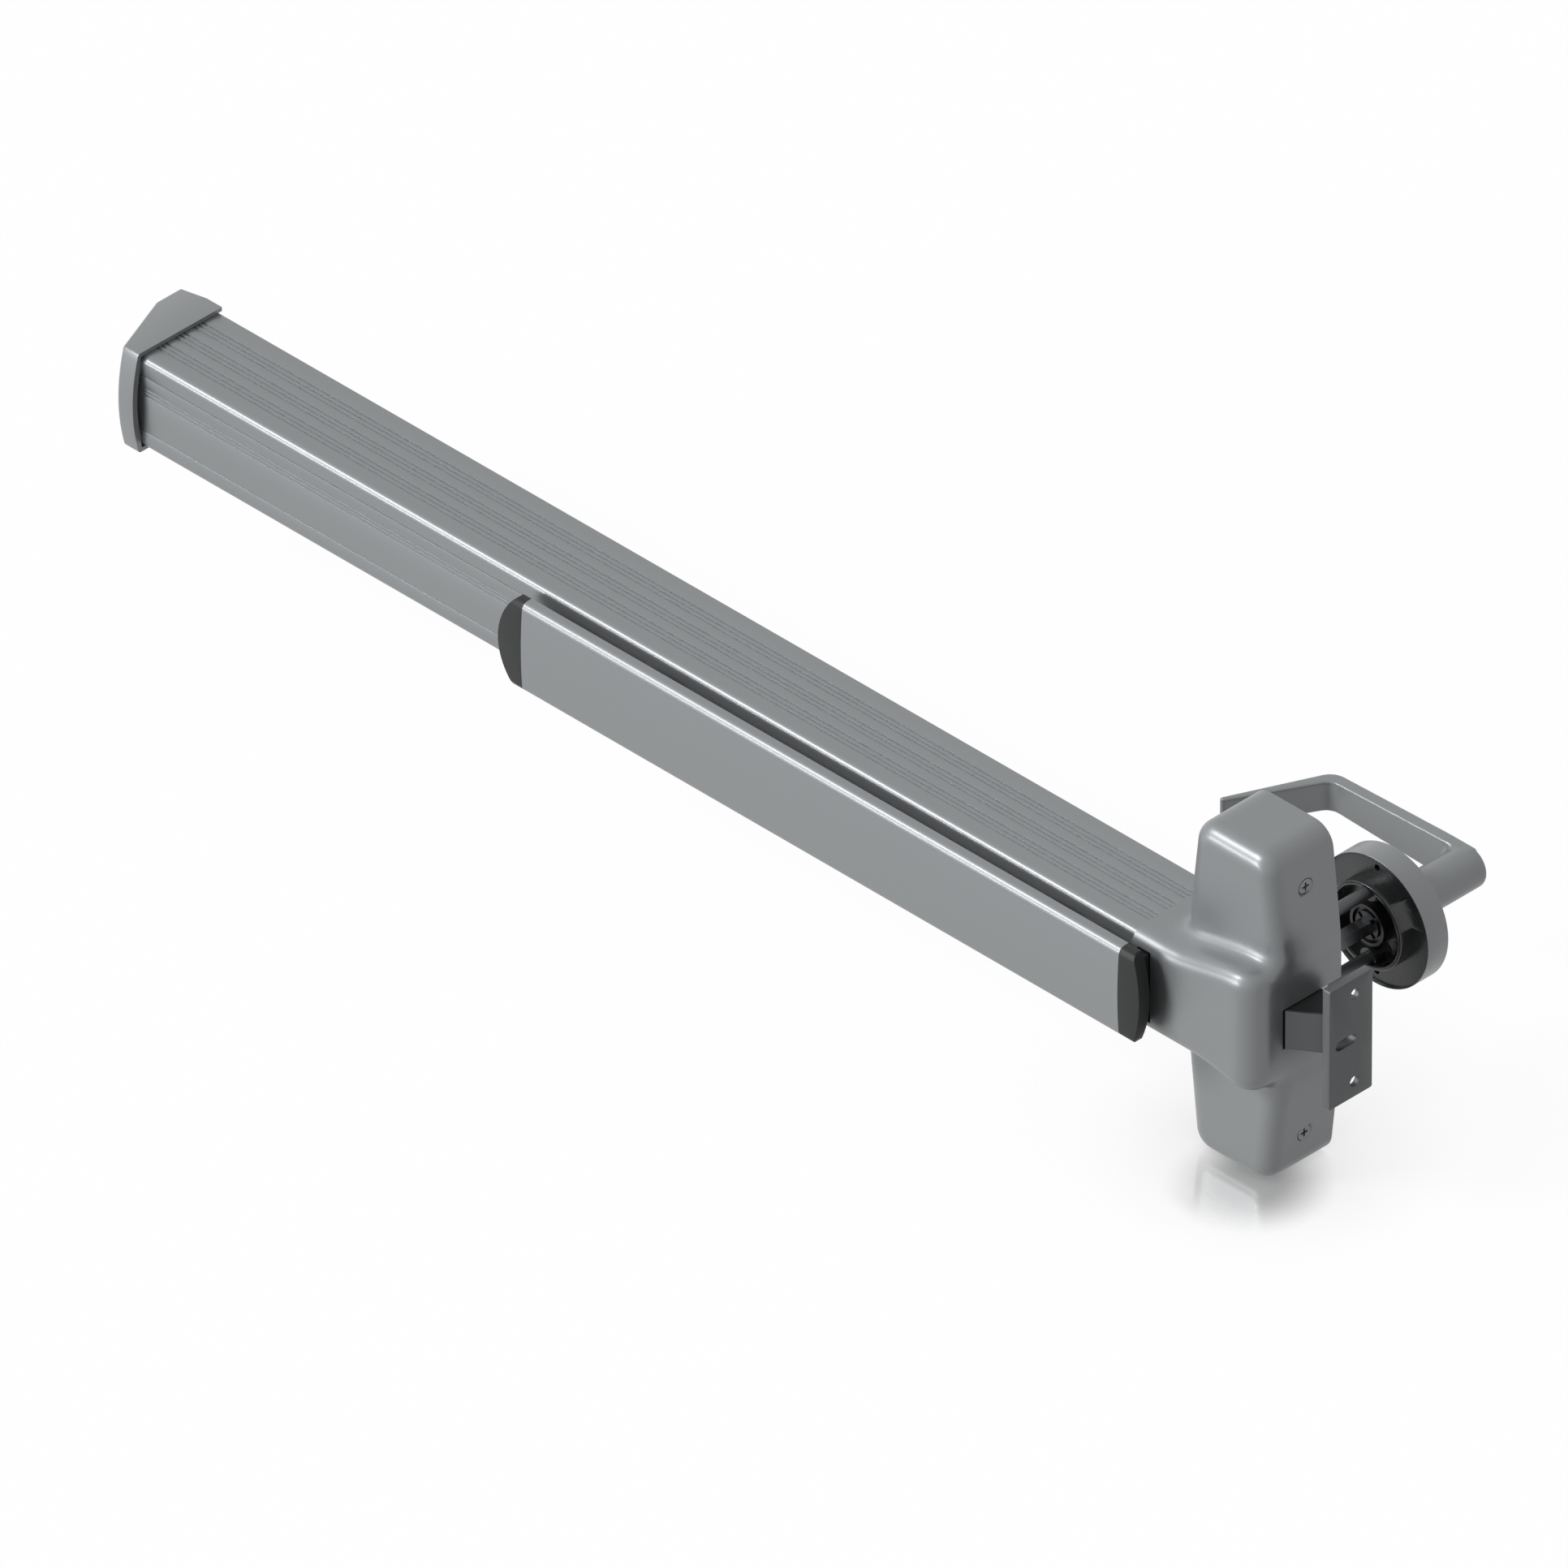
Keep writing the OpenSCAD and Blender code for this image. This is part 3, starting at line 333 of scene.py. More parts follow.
def shaped(bm, tools=(), operation="UNION", voxel=None):
    """Adds, cuts or keeps the overlap with other forms, or remeshes, and returns the result."""
    base = work_object(bm, "work_base")
    others = [work_object(tool, "work_tool") for tool in tools]
    for other in others:
        step = base.modifiers.new("join", "BOOLEAN")
        step.operation = operation
        step.solver = "MANIFOLD"
        step.object = other
    if voxel:
        step = base.modifiers.new("skin", "REMESH")
        step.mode = "VOXEL"
        step.voxel_size = voxel * MM
    result = bmesh.new()
    result.from_object(base, bpy.context.evaluated_depsgraph_get())
    for work in [base] + others:
        mesh = work.data
        bpy.data.objects.remove(work)
        bpy.data.meshes.remove(mesh)
    if not result.faces:
        raise RuntimeError("a boolean left nothing")
    return result


def smooth(bm, verts, passes):
    """Moves points halfway toward the middle of their neighbours, again and again."""
    for _ in range(passes):
        bmesh.ops.smooth_vert(bm, verts=verts, factor=0.5, use_axis_x=True, use_axis_y=True,
                              use_axis_z=True)


def add_piece(bm, name, body, slot, replaced=(), angle=SMOOTH_ANGLE, finish=None):
    """Turns a finished form into a piece that rides on a body and stands for CAD nodes."""
    mesh = bpy.data.meshes.new(name)
    bm.to_mesh(mesh)
    bm.free()
    for face in mesh.polygons:
        face.use_smooth = True
    mesh.set_sharp_from_angle(angle=math.radians(angle))
    mesh.materials.append(finish_material(finish or SLOT_FINISHES[slot]))
    piece = bpy.data.objects.new(name, mesh)
    bpy.context.scene.collection.objects.link(piece)
    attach(piece, body)
    if replaced:
        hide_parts(*replaced)
    return piece


def arc_points(centre, radius, start, end, steps):
    """Points on an arc, in millimetres, with its angles in degrees."""
    made = []
    for i in range(steps + 1):
        turn = math.radians(start + (end - start) * i / steps)
        made.append((centre[0] + radius * math.cos(turn), centre[1] + radius * math.sin(turn)))
    return made


# Sizes and looks that a user would change

def number(name, description, default, **options):
    """A property that holds a number of zero or more."""
    return FloatProperty(name=name, description=description, default=default, min=0, **options)


def length(name, description, default):
    """A property that holds a length, with its default in millimetres."""
    return number(name, description, default * MM, unit="LENGTH", subtype="DISTANCE", precision=4)


def fraction(name, description, default):
    """A property that holds a number from none to one."""
    return number(name, description, default, max=1, subtype="FACTOR")


class ExitCoverSizes(bpy.types.PropertyGroup):
    half_height: length("Half height", "From the lever's axis to the cover's top", 103)
    half_width: length("Half width", "From the lever's axis to the cover's side", 35.1)
    end_half_width: length("End half width", "Half width of the cover near its top", 29.2)
    leg_depth: length("Leg depth", "Depth of the upper and lower legs", 46)
    band_depth: length("Band depth", "Depth of the raised band", 64.6)
    arm_reach: length("Arm reach", "From the lever's axis to the arm's edge", 53)
    arm_half_height: length("Arm half height", "Half height of the arm at its edge", 30)
    band_half_height: length("Band half height", "Half height of the band at the latch side", 39)
    band_low_height: length("Band low height", "From the lever's axis to the band's underside", 37)
    wall: length("Wall", "Thickness of the casting", 2.5)
    voxel: length("Skin size", "Size of the cells that the casting's skin is made from", 1.15)
    blend_passes: IntProperty(name="Blend passes", default=75, min=0,
                              description="How softly the band runs into the legs")


class ExitBarSizes(bpy.types.PropertyGroup):
    case_size: length("Case size", "Height and depth of the case", 57.15)
    case_wall: length("Case wall", "Wall of the case", 2.2)
    case_standoff: length("Case standoff", "From the door to the back of the case", 4.75)
    case_slot: length("Slot height", "Height of the slot in the case's front", 34.8)
    case_corner: length("Case corner", "Radius of the case's front corners", 4.2)
    groove_width: length("Groove width", "Width of a groove in the case", 1.2)
    groove_depth: length("Groove depth", "Depth of a groove in the case", 0.6)
    groove_pitch: length("Groove pitch", "From one groove to the next", 3)
    group_pitch: length("Group pitch", "From one group of grooves to the next", 13.3)
    pad_height: length("Pad height", "Height of the pad", 56)
    pad_front: length("Pad front", "From the door to the pad's front", 79.6)
    pad_wall: length("Pad wall", "Wall of the pad", 2.5)
    pad_flange: length("Pad flange", "Depth of the pad", 8.1)
    pad_corner: length("Pad corner", "Radius of the pad's long front edges", 4.5)
    pad_crown: length("Pad crown", "How far the pad's front bulges", 1.2)


class ExitLeverSizes(bpy.types.PropertyGroup):
    outside: length("Outside", "From the door's inner face to the lever's outside", 131.6)
    thickness: length("Thickness", "Thickness of the grip", 7.5)
    tip_thickness: length("Tip thickness", "Thickness of the bent end at its tip", 3.2)
    hub_radius: length("Hub radius", "Radius of the lever's hub", 12.2)
    grip_length: length("Grip length", "From the lever's axis to the bend", 99)
    voxel: length("Skin size", "Size of the cells that the casting's skin is made from", 0.6)


class ExitStageLooks(bpy.types.PropertyGroup):
    lens: FloatProperty(name="Lens", description="Focal length of the camera", default=1500, min=1,
                        unit="CAMERA")
    field: length("Field", "Width that the photograph's frame covers", 811.1)
    target: FloatVectorProperty(name="Target", description="Point in the middle of the frame",
                                default=(-0.3026, -0.0679, -0.0009), subtype="TRANSLATION",
                                unit="LENGTH")
    ambient: number("Ambient", "Strength of the even light", 0.3)
    key: number("Key", "Strength of the light from the front and above", 1.5)
    fill: number("Fill", "Strength of the light from the front", 1.8)
    shade: fraction("Shade", "How strongly the floor under the foot takes a shadow", 0.12)
    # Painted shade: how much the floor's glow is darkened where something stands near it
    painted_contact_shade: fraction("Halo", "How much darker the floor is where something stands near", 0.4)
    far_shade: fraction("Far shade", "How strongly the rest of the floor takes a shadow", 0.06)
    # Real reflection and painted shade: the share of the grey gloss by the foot, which also darkens
    # the floor there
    mirror: fraction("Mirror", "Gloss of the floor under the cover's foot", 0.62)


def sizes(group):
    """The numbers of a property group, in millimetres."""
    return {key: getattr(group, key) / MM for key in group.__annotations__
            if isinstance(getattr(group, key), float)}


# Pieces. Bare measures below are millimetres

GROOVE_LIP = 0.28       # rounding of the lips of the grooves
LEG_INSET = 0.4         # how far the cover's legs stand inside the band's side
LEG_CORNER = 13         # radius of the legs' corners, seen from the front
LEG_TAPER = 40          # height from which the legs narrow toward their ends
LEG_EDGE = 10           # rounding of the legs' front edges
BAND_CORNER = 15        # rounding of the band's upright edge at the latch side
BAND_EDGE = 9.2         # rounding of the band's upper and lower edges
BAND_POINTS = (-34, -22, -11, -2, 8, 14, 19.5)      # X of the points along those edges
RISE_ABOVE = (-34, 24)  # X where the upper edge starts and ends its rise from the arm
RISE_BELOW = (-11, 35)  # X where the lower edge starts and ends its fall
BLEND_REACHES = (13, 11, 9, 7, 5.5)     # how far from an inner corner each round of smoothing works
PAST = 8                # how far the cover's forms run on past a side that is cut off later


class EXIT_OT_cover(bpy.types.Operator):
    """Makes the cast cover over the latch, with soft blends between its legs and band"""
    bl_idname = "exit.cover"
    bl_label = "Centre cover"

    def leg(self, s, t):
        """The upper and lower legs, or with a wall t their hollow."""
        high, front = s["half_height"] - t, -s["leg_depth"] + t
        wide, end = s["half_width"] - LEG_INSET - t, s["end_half_width"] - t
        centre = (end + t - LEG_CORNER, high + t - LEG_CORNER)
        side = [(wide, LEG_TAPER)] + arc_points(centre, LEG_CORNER - t, 0, 90, 9)
        upper = side + [(-x, z) for x, z in reversed(side)]
        leg = prism(upper + [(-x, -z) for x, z in upper], "Y", front, PAST)
        round_off(leg, edges_where(leg, lambda p: same(p.y, front)), LEG_EDGE - t, 8, False)
        return leg

    def band(self, s, t):
        """The raised band and the arm over the case, or with a wall t their hollow."""
        left, right, front = -s["arm_reach"] - PAST, s["half_width"] - t, -s["band_depth"] + t
        points = (left, *BAND_POINTS, right)
        upper = [(x, self.band_edge(s, x, 1) - t) for x in points]
        lower = [(x, t - self.band_edge(s, x, -1)) for x in points]
        form = prism(lower + upper[::-1], "Y", front, PAST)
        upright = edges_where(form, lambda p: same(p.x, right) and same(p.y, front))
        round_off(form, upright, BAND_CORNER - t, 10, False)
        rims = [e for e in sharp_edges(form, 35)
                if wholly(e, lambda p: abs(p.z) > s["arm_half_height"] - t - 0.5)
                and not wholly(e, lambda p: p.y > PAST - 1)
                and not wholly(e, lambda p: p.x < left + 0.01)]
        round_off(form, rims, BAND_EDGE - t * 0.8, 7, False)
        return form

    def band_edge(self, s, x, side):
        """How far the band reaches above (side 1) or below (side -1) the lever's axis."""
        (start, end), rise = ((RISE_ABOVE, s["band_half_height"]) if side > 0
                              else (RISE_BELOW, s["band_low_height"]))
        share = min(max((x - start) / (end - start), 0), 1)
        arm = s["arm_half_height"]
        return arm + (rise - arm) * (3 - 2 * share) * share * share

    def execute(self, context):
        s, bar = sizes(context.scene.exit_cover), sizes(context.scene.exit_bar)
        skin = shaped(self.leg(s, 0), [self.band(s, 0)], "UNION", s["voxel"])
        smooth(skin, skin.verts[:], 5)
        passes = context.scene.exit_cover.blend_passes // len(BLEND_REACHES)
        for reach in BLEND_REACHES:
            smooth(skin, [v for v in skin.verts if self.by_blend(s, v.co / MM, reach)], passes)
        smooth(skin, [v for v in skin.verts if self.by_rim(s, v.co / MM)], 6)

        hollow = shaped(self.leg(s, s["wall"]), [self.band(s, s["wall"])], "UNION")
        half, front = bar["case_size"] / 2 + 0.2, -bar["case_size"] - bar["case_standoff"] - 0.3
        arm = -s["arm_reach"]
        case_mouth = block((arm - 12, -49), (front, 12), (-half, half))
        corners = [e for e in case_mouth.edges
                   if runs_along_x(e) and wholly(e, lambda p: same(p.y, front))]
        round_off(case_mouth, corners, 4.4, 5, False)
        cuts = [hollow, case_mouth,
                block((20, 50), (-42.7, 12), (-12.5, 12.5)),        # the latch's slot
                block((-48.7, -39.3), (-80, -50), (-22.2, 22.2)),   # the window for the pad's neck
                block((-90, 60), (0, 30), (-120, 120)),             # what is behind the door's face
                block((-90, arm), (-90, 20), (-60, 60))]            # what is past the arm's edge
        cover = shaped(skin, cuts + self.seats(), "DIFFERENCE")
        add_piece(cover, "cover_casting", "frame", "silver_paint", ["center_cover"], 40)
        return {"FINISHED"}

    def by_blend(self, s, p, reach):
        """Whether a point lies near the inner corner where the band runs into a leg."""
        if abs(abs(p.z) - self.band_edge(s, p.x, p.z)) > reach or p.x < -s["arm_reach"] - 1:
            return False
        by_front = abs(p.y + s["leg_depth"]) < reach
        by_side = abs(p.x + s["half_width"]) < reach and p.y > -s["leg_depth"] - reach
        return by_front or by_side

    def by_rim(self, s, p):
        """Whether a point lies near the band's front edges."""
        by_edge = abs(abs(p.z) - self.band_edge(s, p.x, p.z) + 3) < 10
        return p.y < -s["band_depth"] + 16 and (by_edge or p.x > s["half_width"] - 17)

    def seats(self):
        """Countersinks for the screws in the cover's sides."""
        low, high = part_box("cover_screws")
        inset, reach = 4.6, abs(high.x) - 0.9 * MM      # from the box's ends and sides to a seat
        return [taper((side * reach, (low.y + high.y) / 2, z * MM), side, (2.6, 5.9), 3.6, 48)
                for side in (-1, 1) for z in (low.z / MM + inset, high.z / MM - inset)]


class EXIT_OT_case(bpy.types.Operator):
    """Makes the slotted case with its grooves"""
    bl_idname = "exit.case"
    bl_label = "Mechanism case"

    def execute(self, context):
        s = sizes(context.scene.exit_bar)
        wall, lip, half = s["case_wall"], s["case_slot"] / 2, s["case_size"] / 2
        back = -s["case_standoff"]
        front, middle, bottom = back - s["case_size"], back - half, half - s["groove_depth"]
        top = []
        for group in (-1, 0, 1):
            for line in (-1, 0, 1):
                groove = middle + group * s["group_pitch"] + line * s["groove_pitch"]
                start, end = groove - s["groove_width"] / 2, groove + s["groove_width"] / 2
                top += [(start, half), (start, bottom), (end, bottom), (end, half)]
        under = [(y, -z) for y, z in reversed(top)]
        outline = [(front, lip), (front, half)] + top + [(back, half), (back, -half)] + under \
            + [(front, -half), (front, -lip), (front + wall, -lip), (front + wall, -half + wall),
               (back - wall, -half + wall), (back - wall, half - wall), (front + wall, half - wall),
               (front + wall, lip)]
        low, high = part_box("mechanism_case")
        case = prism(outline, "X", low.x / MM, high.x / MM)

        def long_edges(*lines):
            """The edges along X on any of some lines, each given by its Y and height."""
            return [e for e in case.edges if runs_along_x(e)
                    and any(wholly(e, lambda p: same(p.y, y) and same(abs(p.z), z))
                            for y, z in lines)]

        round_off(case, long_edges((front, half)), s["case_corner"], 6)
        round_off(case, long_edges((front + wall, half - wall)), s["case_corner"] - wall / 2, 5)
        round_off(case, long_edges((front, lip), (back, half)), 0.5, 2)
        lips = [e for e in sharp_edges(case, 60) if runs_along_x(e)
                and wholly(e, lambda p: front + 6 < p.y < back - 6 and same(abs(p.z), half))]
        round_off(case, lips, GROOVE_LIP, 2)
        add_piece(case, "case_extrusion", "frame", "case_aluminium", ["mechanism_case"])
        return {"FINISHED"}


class EXIT_OT_filler(bpy.types.Operator):
    """Makes the strip beside the pad, with rounded lips on its grooves"""
    bl_idname = "exit.filler"
    bl_label = "Filler strip"

    def execute(self, context):
        strip = merged_node("case_filler")
        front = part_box("case_filler")[0].y / MM
        lips = [e for e in sharp_edges(strip, 60)
                if runs_along_x(e) and wholly(e, lambda p: same(p.y, front))]
        round_off(strip, lips, GROOVE_LIP, 2)
        add_piece(strip, "filler_extrusion", "frame", "case_aluminium", ["case_filler"])
        return {"FINISHED"}


CAP_WALL = 2.3      # wall of the end cap
CAP_RIM = 3.4       # its wall beside the case
CAP_SLOPE = 11.3    # length of the straight part before the sloping facets
CAP_DROP = 3.7      # how much lower the cap is at its end
CAP_BOW = 4.4       # how far its front bulges
CAP_BACK = -20      # Y where the front's slope meets the end


class EXIT_OT_end_cap(bpy.types.Operator):
    """Makes the cast cap at the hinge end"""
    bl_idname = "exit.end_cap"
    bl_label = "End cap"

    def form(self, t):
        """The cap's solid form and the X of its open side, or with a wall t those of its hollow."""
        low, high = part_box("end_cap")
        past = 2 if t else 0    # a hollow runs on past the open sides
        edge, end = high.x / MM + past, low.x / MM + t
        flat, tall = edge - past - CAP_SLOPE, high.z / MM - t
        front, back = low.y / MM + t + CAP_BOW, high.y / MM + past
        cap = prism([(edge, front), (flat + t * 0.4, front), (end, CAP_BACK), (end, back),
                     (edge, back)], "Z", -tall, tall)
        uprights = [e for e in cap.edges if abs(e.verts[0].co.z - e.verts[1].co.z) > 10 * MM]
        bmesh.ops.subdivide_edges(cap, edges=uprights, cuts=12, use_grid_fill=True)
        for vert in cap.verts:
            p = vert.co / MM
            if p.y < front + 0.1:
                vert.co.y -= CAP_BOW * (1 - (p.z / tall) ** 2) * MM
        for side in (-1, 1):
            slope = Vector((-CAP_DROP, 0, side * (flat - end)))
            cut = bmesh.ops.bisect_plane(cap, geom=cap.verts[:] + cap.edges[:] + cap.faces[:],
                                         dist=FINE, plane_co=Vector((flat, 0, side * tall)) * MM,
                                         plane_no=slope.normalized(), clear_outer=True)
            rim = [part for part in cut["geom_cut"] if isinstance(part, bmesh.types.BMEdge)]
            bmesh.ops.holes_fill(cap, edges=rim, sides=0)
        bmesh.ops.remove_doubles(cap, verts=cap.verts, dist=FINE)
        bmesh.ops.recalc_face_normals(cap, faces=cap.faces)
        return cap, edge

    def execute(self, context):
        cap, edge = self.form(0)
        chosen = [e for e in sharp_edges(cap, 28)
                  if not wholly(e, lambda p: same(p.x, edge))
                  and not wholly(e, lambda p: p.y > -2.8)]
        round_off(cap, chosen, 1.5, 4, False)
        s = sizes(context.scene.exit_bar)
        high, front = s["case_size"] / 2 + 0.3, -s["case_size"] - s["case_standoff"] - 0.3
        room = block((-820, -770), (front, 12), (-high, high))
        hollow = shaped(self.form(CAP_WALL)[0], [room], "INTERSECT")
        slab = block((edge - 4, edge + 5), (-80, 5), (-40, 40))
        mouth = shaped(self.form(CAP_RIM)[0], [slab], "INTERSECT")
        hole = taper((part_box("end_cap")[0].x, -11 * MM, 0), 1, (2.25, 2.25), 12, 24)
        cap = shaped(cap, [hollow, mouth, hole], "DIFFERENCE")
        add_piece(cap, "end_cap_casting", "frame", "silver_paint", ["end_cap"], 35)
        return {"FINISHED"}


def pad_outline(s, back, hollow):
    """The pad's section: a crowned front with flanges, or with a hollow only its solid outline."""
    half, front, steps = s["pad_height"] / 2, -s["pad_front"], 14
    face = []
    for i in range(steps + 1):
        z = -half + 2 * half * i / steps
        face.append((front + s["pad_crown"] * (z / half) ** 2, z))
    outline = [(back, -half)] + face + [(back, half)]
    if hollow:
        inner, wall = half - s["pad_wall"], front + s["pad_wall"]
        outline += [(back, inner), (wall, inner), (wall, -inner), (back, -inner)]
    return outline


def round_pad_edges(bm, s):
    """Rounds the two long front edges of a form made with the pad's section."""
    half, edge = s["pad_height"] / 2, -s["pad_front"] + s["pad_crown"]
    corners = [e for e in bm.edges if runs_along_x(e)
               and wholly(e, lambda p: same(abs(p.z), half) and same(p.y, edge))]
    round_off(bm, corners, s["pad_corner"], 6)


class EXIT_OT_touch_pad(bpy.types.Operator):
    """Makes the crowned metal pad"""
    bl_idname = "exit.touch_pad"
    bl_label = "Touch pad"

    def execute(self, context):
        s = sizes(context.scene.exit_bar)
        low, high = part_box("touch_pad")
        pad = prism(pad_outline(s, high.y / MM, True), "X", low.x / MM, high.x / MM)
        round_pad_edges(pad, s)
        add_piece(pad, "pad_extrusion", "pad", "pad_aluminium", ["touch_pad"])
        return {"FINISHED"}


class EXIT_OT_pad_ends(bpy.types.Operator):
    """Makes the two moulded ends of the pad"""
    bl_idname = "exit.pad_ends"
    bl_label = "Pad ends"

    def moulding(self, s, edge, width, bulge, side, back):
        """The outside of one end: straight for a width, then bulging away from the pad."""
        high = s["pad_height"] / 2
        half = high - 1
        radius = (half * half + bulge * bulge) / (2 * bulge)
        tip, shoulder = edge + side * (width + bulge), edge + side * (width - 1.2)
        spread = math.degrees(math.asin(half / radius))
        middle = 0 if side > 0 else 180
        curve = arc_points((tip - side * radius, 0), radius, middle - spread, middle + spread, 24)
        if side < 0:
            curve.reverse()
        outline = [(edge, -high), (shoulder, -high)] + curve + [(shoulder, high), (edge, high)]
        shell = prism(outline, "Y", -s["pad_front"] - 2, back)
        section = prism(pad_outline(s, back + 2, False), "X", *sorted((edge, edge + side * 30)))
        round_pad_edges(section, s)
        end = shaped(shell, [section], "INTERSECT")
        join_faces(end, 0.5)
        rim = [e for e in sharp_edges(end, 30) if not wholly(e, lambda p: same(p.x, edge))]
        round_off(end, rim, 0.9, 3)
        return end

    def execute(self, context):
        s = sizes(context.scene.exit_bar)
        pad_low, pad_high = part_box("touch_pad")
        face = -s["pad_front"]
        inner, back = face + s["pad_wall"], face + s["pad_flange"] - 0.1
        room_high, neck_high = 23, 21
        for name, edge, width, bulge, side in (("pad_end_left", pad_low.x / MM, 7, 10, -1),
                                               ("pad_end_right", pad_high.x / MM, 10.2, 5.5, 1)):
            end = self.moulding(s, edge, width, bulge, side, back)
            runs = (2, width - 2.5, width + bulge - 4)
            start, shoulder, tip = (edge + side * run for run in runs)
            room = prism([(start, -room_high), (shoulder, -room_high), (tip, 0),
                          (shoulder, room_high), (start, room_high)], "Y", face + 3.2, back + 3)
            end = shaped(end, [room], "DIFFERENCE")
            plug = block(sorted((edge - side * 12, edge + side * 1.5)), (inner + 0.15, inner + 2.1),
                         (-room_high, room_high))
            round_off(plug, sharp_edges(plug, 60), 0.3, 1)
            parts = [plug]
            if side > 0:
                neck = block((-47.5, -40.5), (face + 4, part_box(name)[1].y / MM),
                             (-neck_high, neck_high))
                round_off(neck, sharp_edges(neck, 60), 0.8, 2)
                parts.append(neck)
            end = shaped(end, parts, "UNION")
            add_piece(end, name.replace("pad_end", "pad_moulding"), "pad", "black_plastic", [name],
                      35)
        return {"FINISHED"}


class EXIT_OT_latch(bpy.types.Operator):
    """Makes the bevelled latch with its metal face"""
    bl_idname = "exit.latch"
    bl_label = "Latch"

    def execute(self, context):
        half_height, mouth = 12, 34     # of the latch, and the X past which it shows
        for node, name, slot, width in (("latch_bolt", "latch_block", "black_metal", 0.35),
                                        ("latch_face", "latch_bevel", "latch_steel", 0.25)):
            bm = merged_node(node)
            outer = [e for e in sharp_edges(bm, 20)
                     if wholly(e, lambda p: same(abs(p.z), half_height) or p.x > mouth)]
            round_off(bm, outer, width, 2)
            add_piece(bm, name, "latch", slot, [node], 30)
        return {"FINISHED"}


class EXIT_OT_strike(bpy.types.Operator):
    """Makes the strike plate with its holes, slot and keeper"""
    bl_idname = "exit.strike"
    bl_label = "Strike plate"

    def execute(self, context):
        bm = merged_node("strike_plate")
        low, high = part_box("strike_plate")
        outer = [e for e in sharp_edges(bm, 30)
                 if all(min(abs(v.co.z - low.z), abs(v.co.z - high.z), abs(v.co.y - low.y),
                            abs(v.co.y - high.y)) < 1.3 * MM for v in e.verts)]
        round_off(bm, outer, 0.3, 2)
        add_piece(bm, "strike_casting", "frame", "strike_grey", ["strike_plate"], 30)
        return {"FINISHED"}


class EXIT_OT_trim(bpy.types.Operator):
    """Makes the rose and the dark chassis behind the lever"""
    bl_idname = "exit.trim"
    bl_label = "Rose and chassis"

    def execute(self, context):
        low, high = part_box("rose")
        radius, back, front = high.x / MM, low.y / MM, high.y / MM
        wall, bore = 2.0, 12.6
        inside = radius - wall
        rose = turned([(bore, front), (radius - 0.8, front), (radius - 0.24, front - 0.24),
                       (radius, front - 0.8), (radius, back + 0.1), (radius - 0.1, back),
                       (radius - 0.35, back), (radius - 0.5, back + 1.6),
                       (radius - 0.5, back + 4.5), (inside, back + 5.6), (inside, front - wall - 1),
                       (inside - 1, front - wall), (bore, front - wall)], 128)
        add_piece(rose, "rose_cup", "frame", "silver_paint", ["rose"], 35)

        chassis = merged_node("trim_chassis")
        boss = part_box("trim_chassis")[0].y / MM
        rims = [e for e in sharp_edges(chassis, 60)
                if wholly(e, lambda p: same(p.y, boss) and math.hypot(p.x, p.z) > 22)]
        round_off(chassis, rims, 0.7, 3)
        for vert in chassis.verts:      # the plate's edge reaches the rose's thin rim
            spread = math.hypot(vert.co.x, vert.co.z) / MM
            if spread > inside - 0.3:
                vert.co.x *= (radius - 0.6) / spread
                vert.co.z *= (radius - 0.6) / spread
        add_piece(chassis, "chassis_pressing", "frame", "black_metal", ["trim_chassis"], 30,
                  NODE_FINISHES["trim_chassis"])
        return {"FINISHED"}


OUTER_BEND = 11     # radius of the lever's bend on its outside
INNER_BEND = 9      # and on its inside


class EXIT_OT_lever(bpy.types.Operator):
    """Makes the cast lever with its bent end"""
    bl_idname = "exit.lever"
    bl_label = "Lever"

    def execute(self, context):
        s = sizes(context.scene.exit_lever)
        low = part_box("lever")[0]
        tip, near, out = low.x / MM, low.y / MM + 1, s["outside"]
        bend, inner = -s["grip_length"], out - s["thickness"]
        turn = math.degrees(math.atan2(out - near, bend - tip))
        slope = math.tan(math.radians(turn / 2))
        outer_x = bend + OUTER_BEND * slope
        inner_x = bend + s["thickness"] * 0.55 + INNER_BEND * slope
        plan = [(4, inner), (4, out)]
        plan += arc_points((outer_x, out - OUTER_BEND), OUTER_BEND, 90, 90 + turn, 12)
        plan += [(tip, near), (tip + s["tip_thickness"], near - 1)]
        plan += arc_points((inner_x, inner - INNER_BEND), INNER_BEND, 90 + turn, 90, 12)
        grip = prism(plan, "Z", -16, 16)
        # The grip's front outline: (X, half height) from the hub to the tip
        heights = [(-14, 12), (-50, 10.8), (bend + 6, 9.4), (tip - 4, 9)]
        front = prism([(5, -12), (5, 12)] + heights + [(x, -z) for x, z in reversed(heights)],
                      "Y", 60, out + 5)
        grip = shaped(grip, [front], "INTERSECT")
        join_faces(grip, 0.4)
        round_off(grip, sharp_edges(grip, 40), 1.4, 3)
        start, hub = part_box("drive_hub")[1].y / MM + 0.05, s["hub_radius"]
        lever = turned([(0, start), (hub, start), (hub, out - 2), (hub - 0.6, out - 0.6),
                        (hub - 2, out), (0, out)], 72)
        lever = shaped(lever, [grip], "UNION", s["voxel"])
        smooth(lever, lever.verts[:], 5)
        for reach in (5, 3.5, 2):
            smooth(lever, [v for v in lever.verts if self.by_neck(s, v.co / MM, reach)], 14)
        add_piece(lever, "lever_casting", "trim_lever", "silver_paint", ["lever"], 60)
        return {"FINISHED"}

    def by_neck(self, s, p, reach):
        """Whether a point lies near the inner corner where the grip leaves the hub."""
        away = math.hypot(p.x, p.z) - s["hub_radius"]
        level = s["outside"] - s["thickness"]
        return p.x < -2 and abs(away) < reach and level - reach - 2 < p.y < level + 2.5


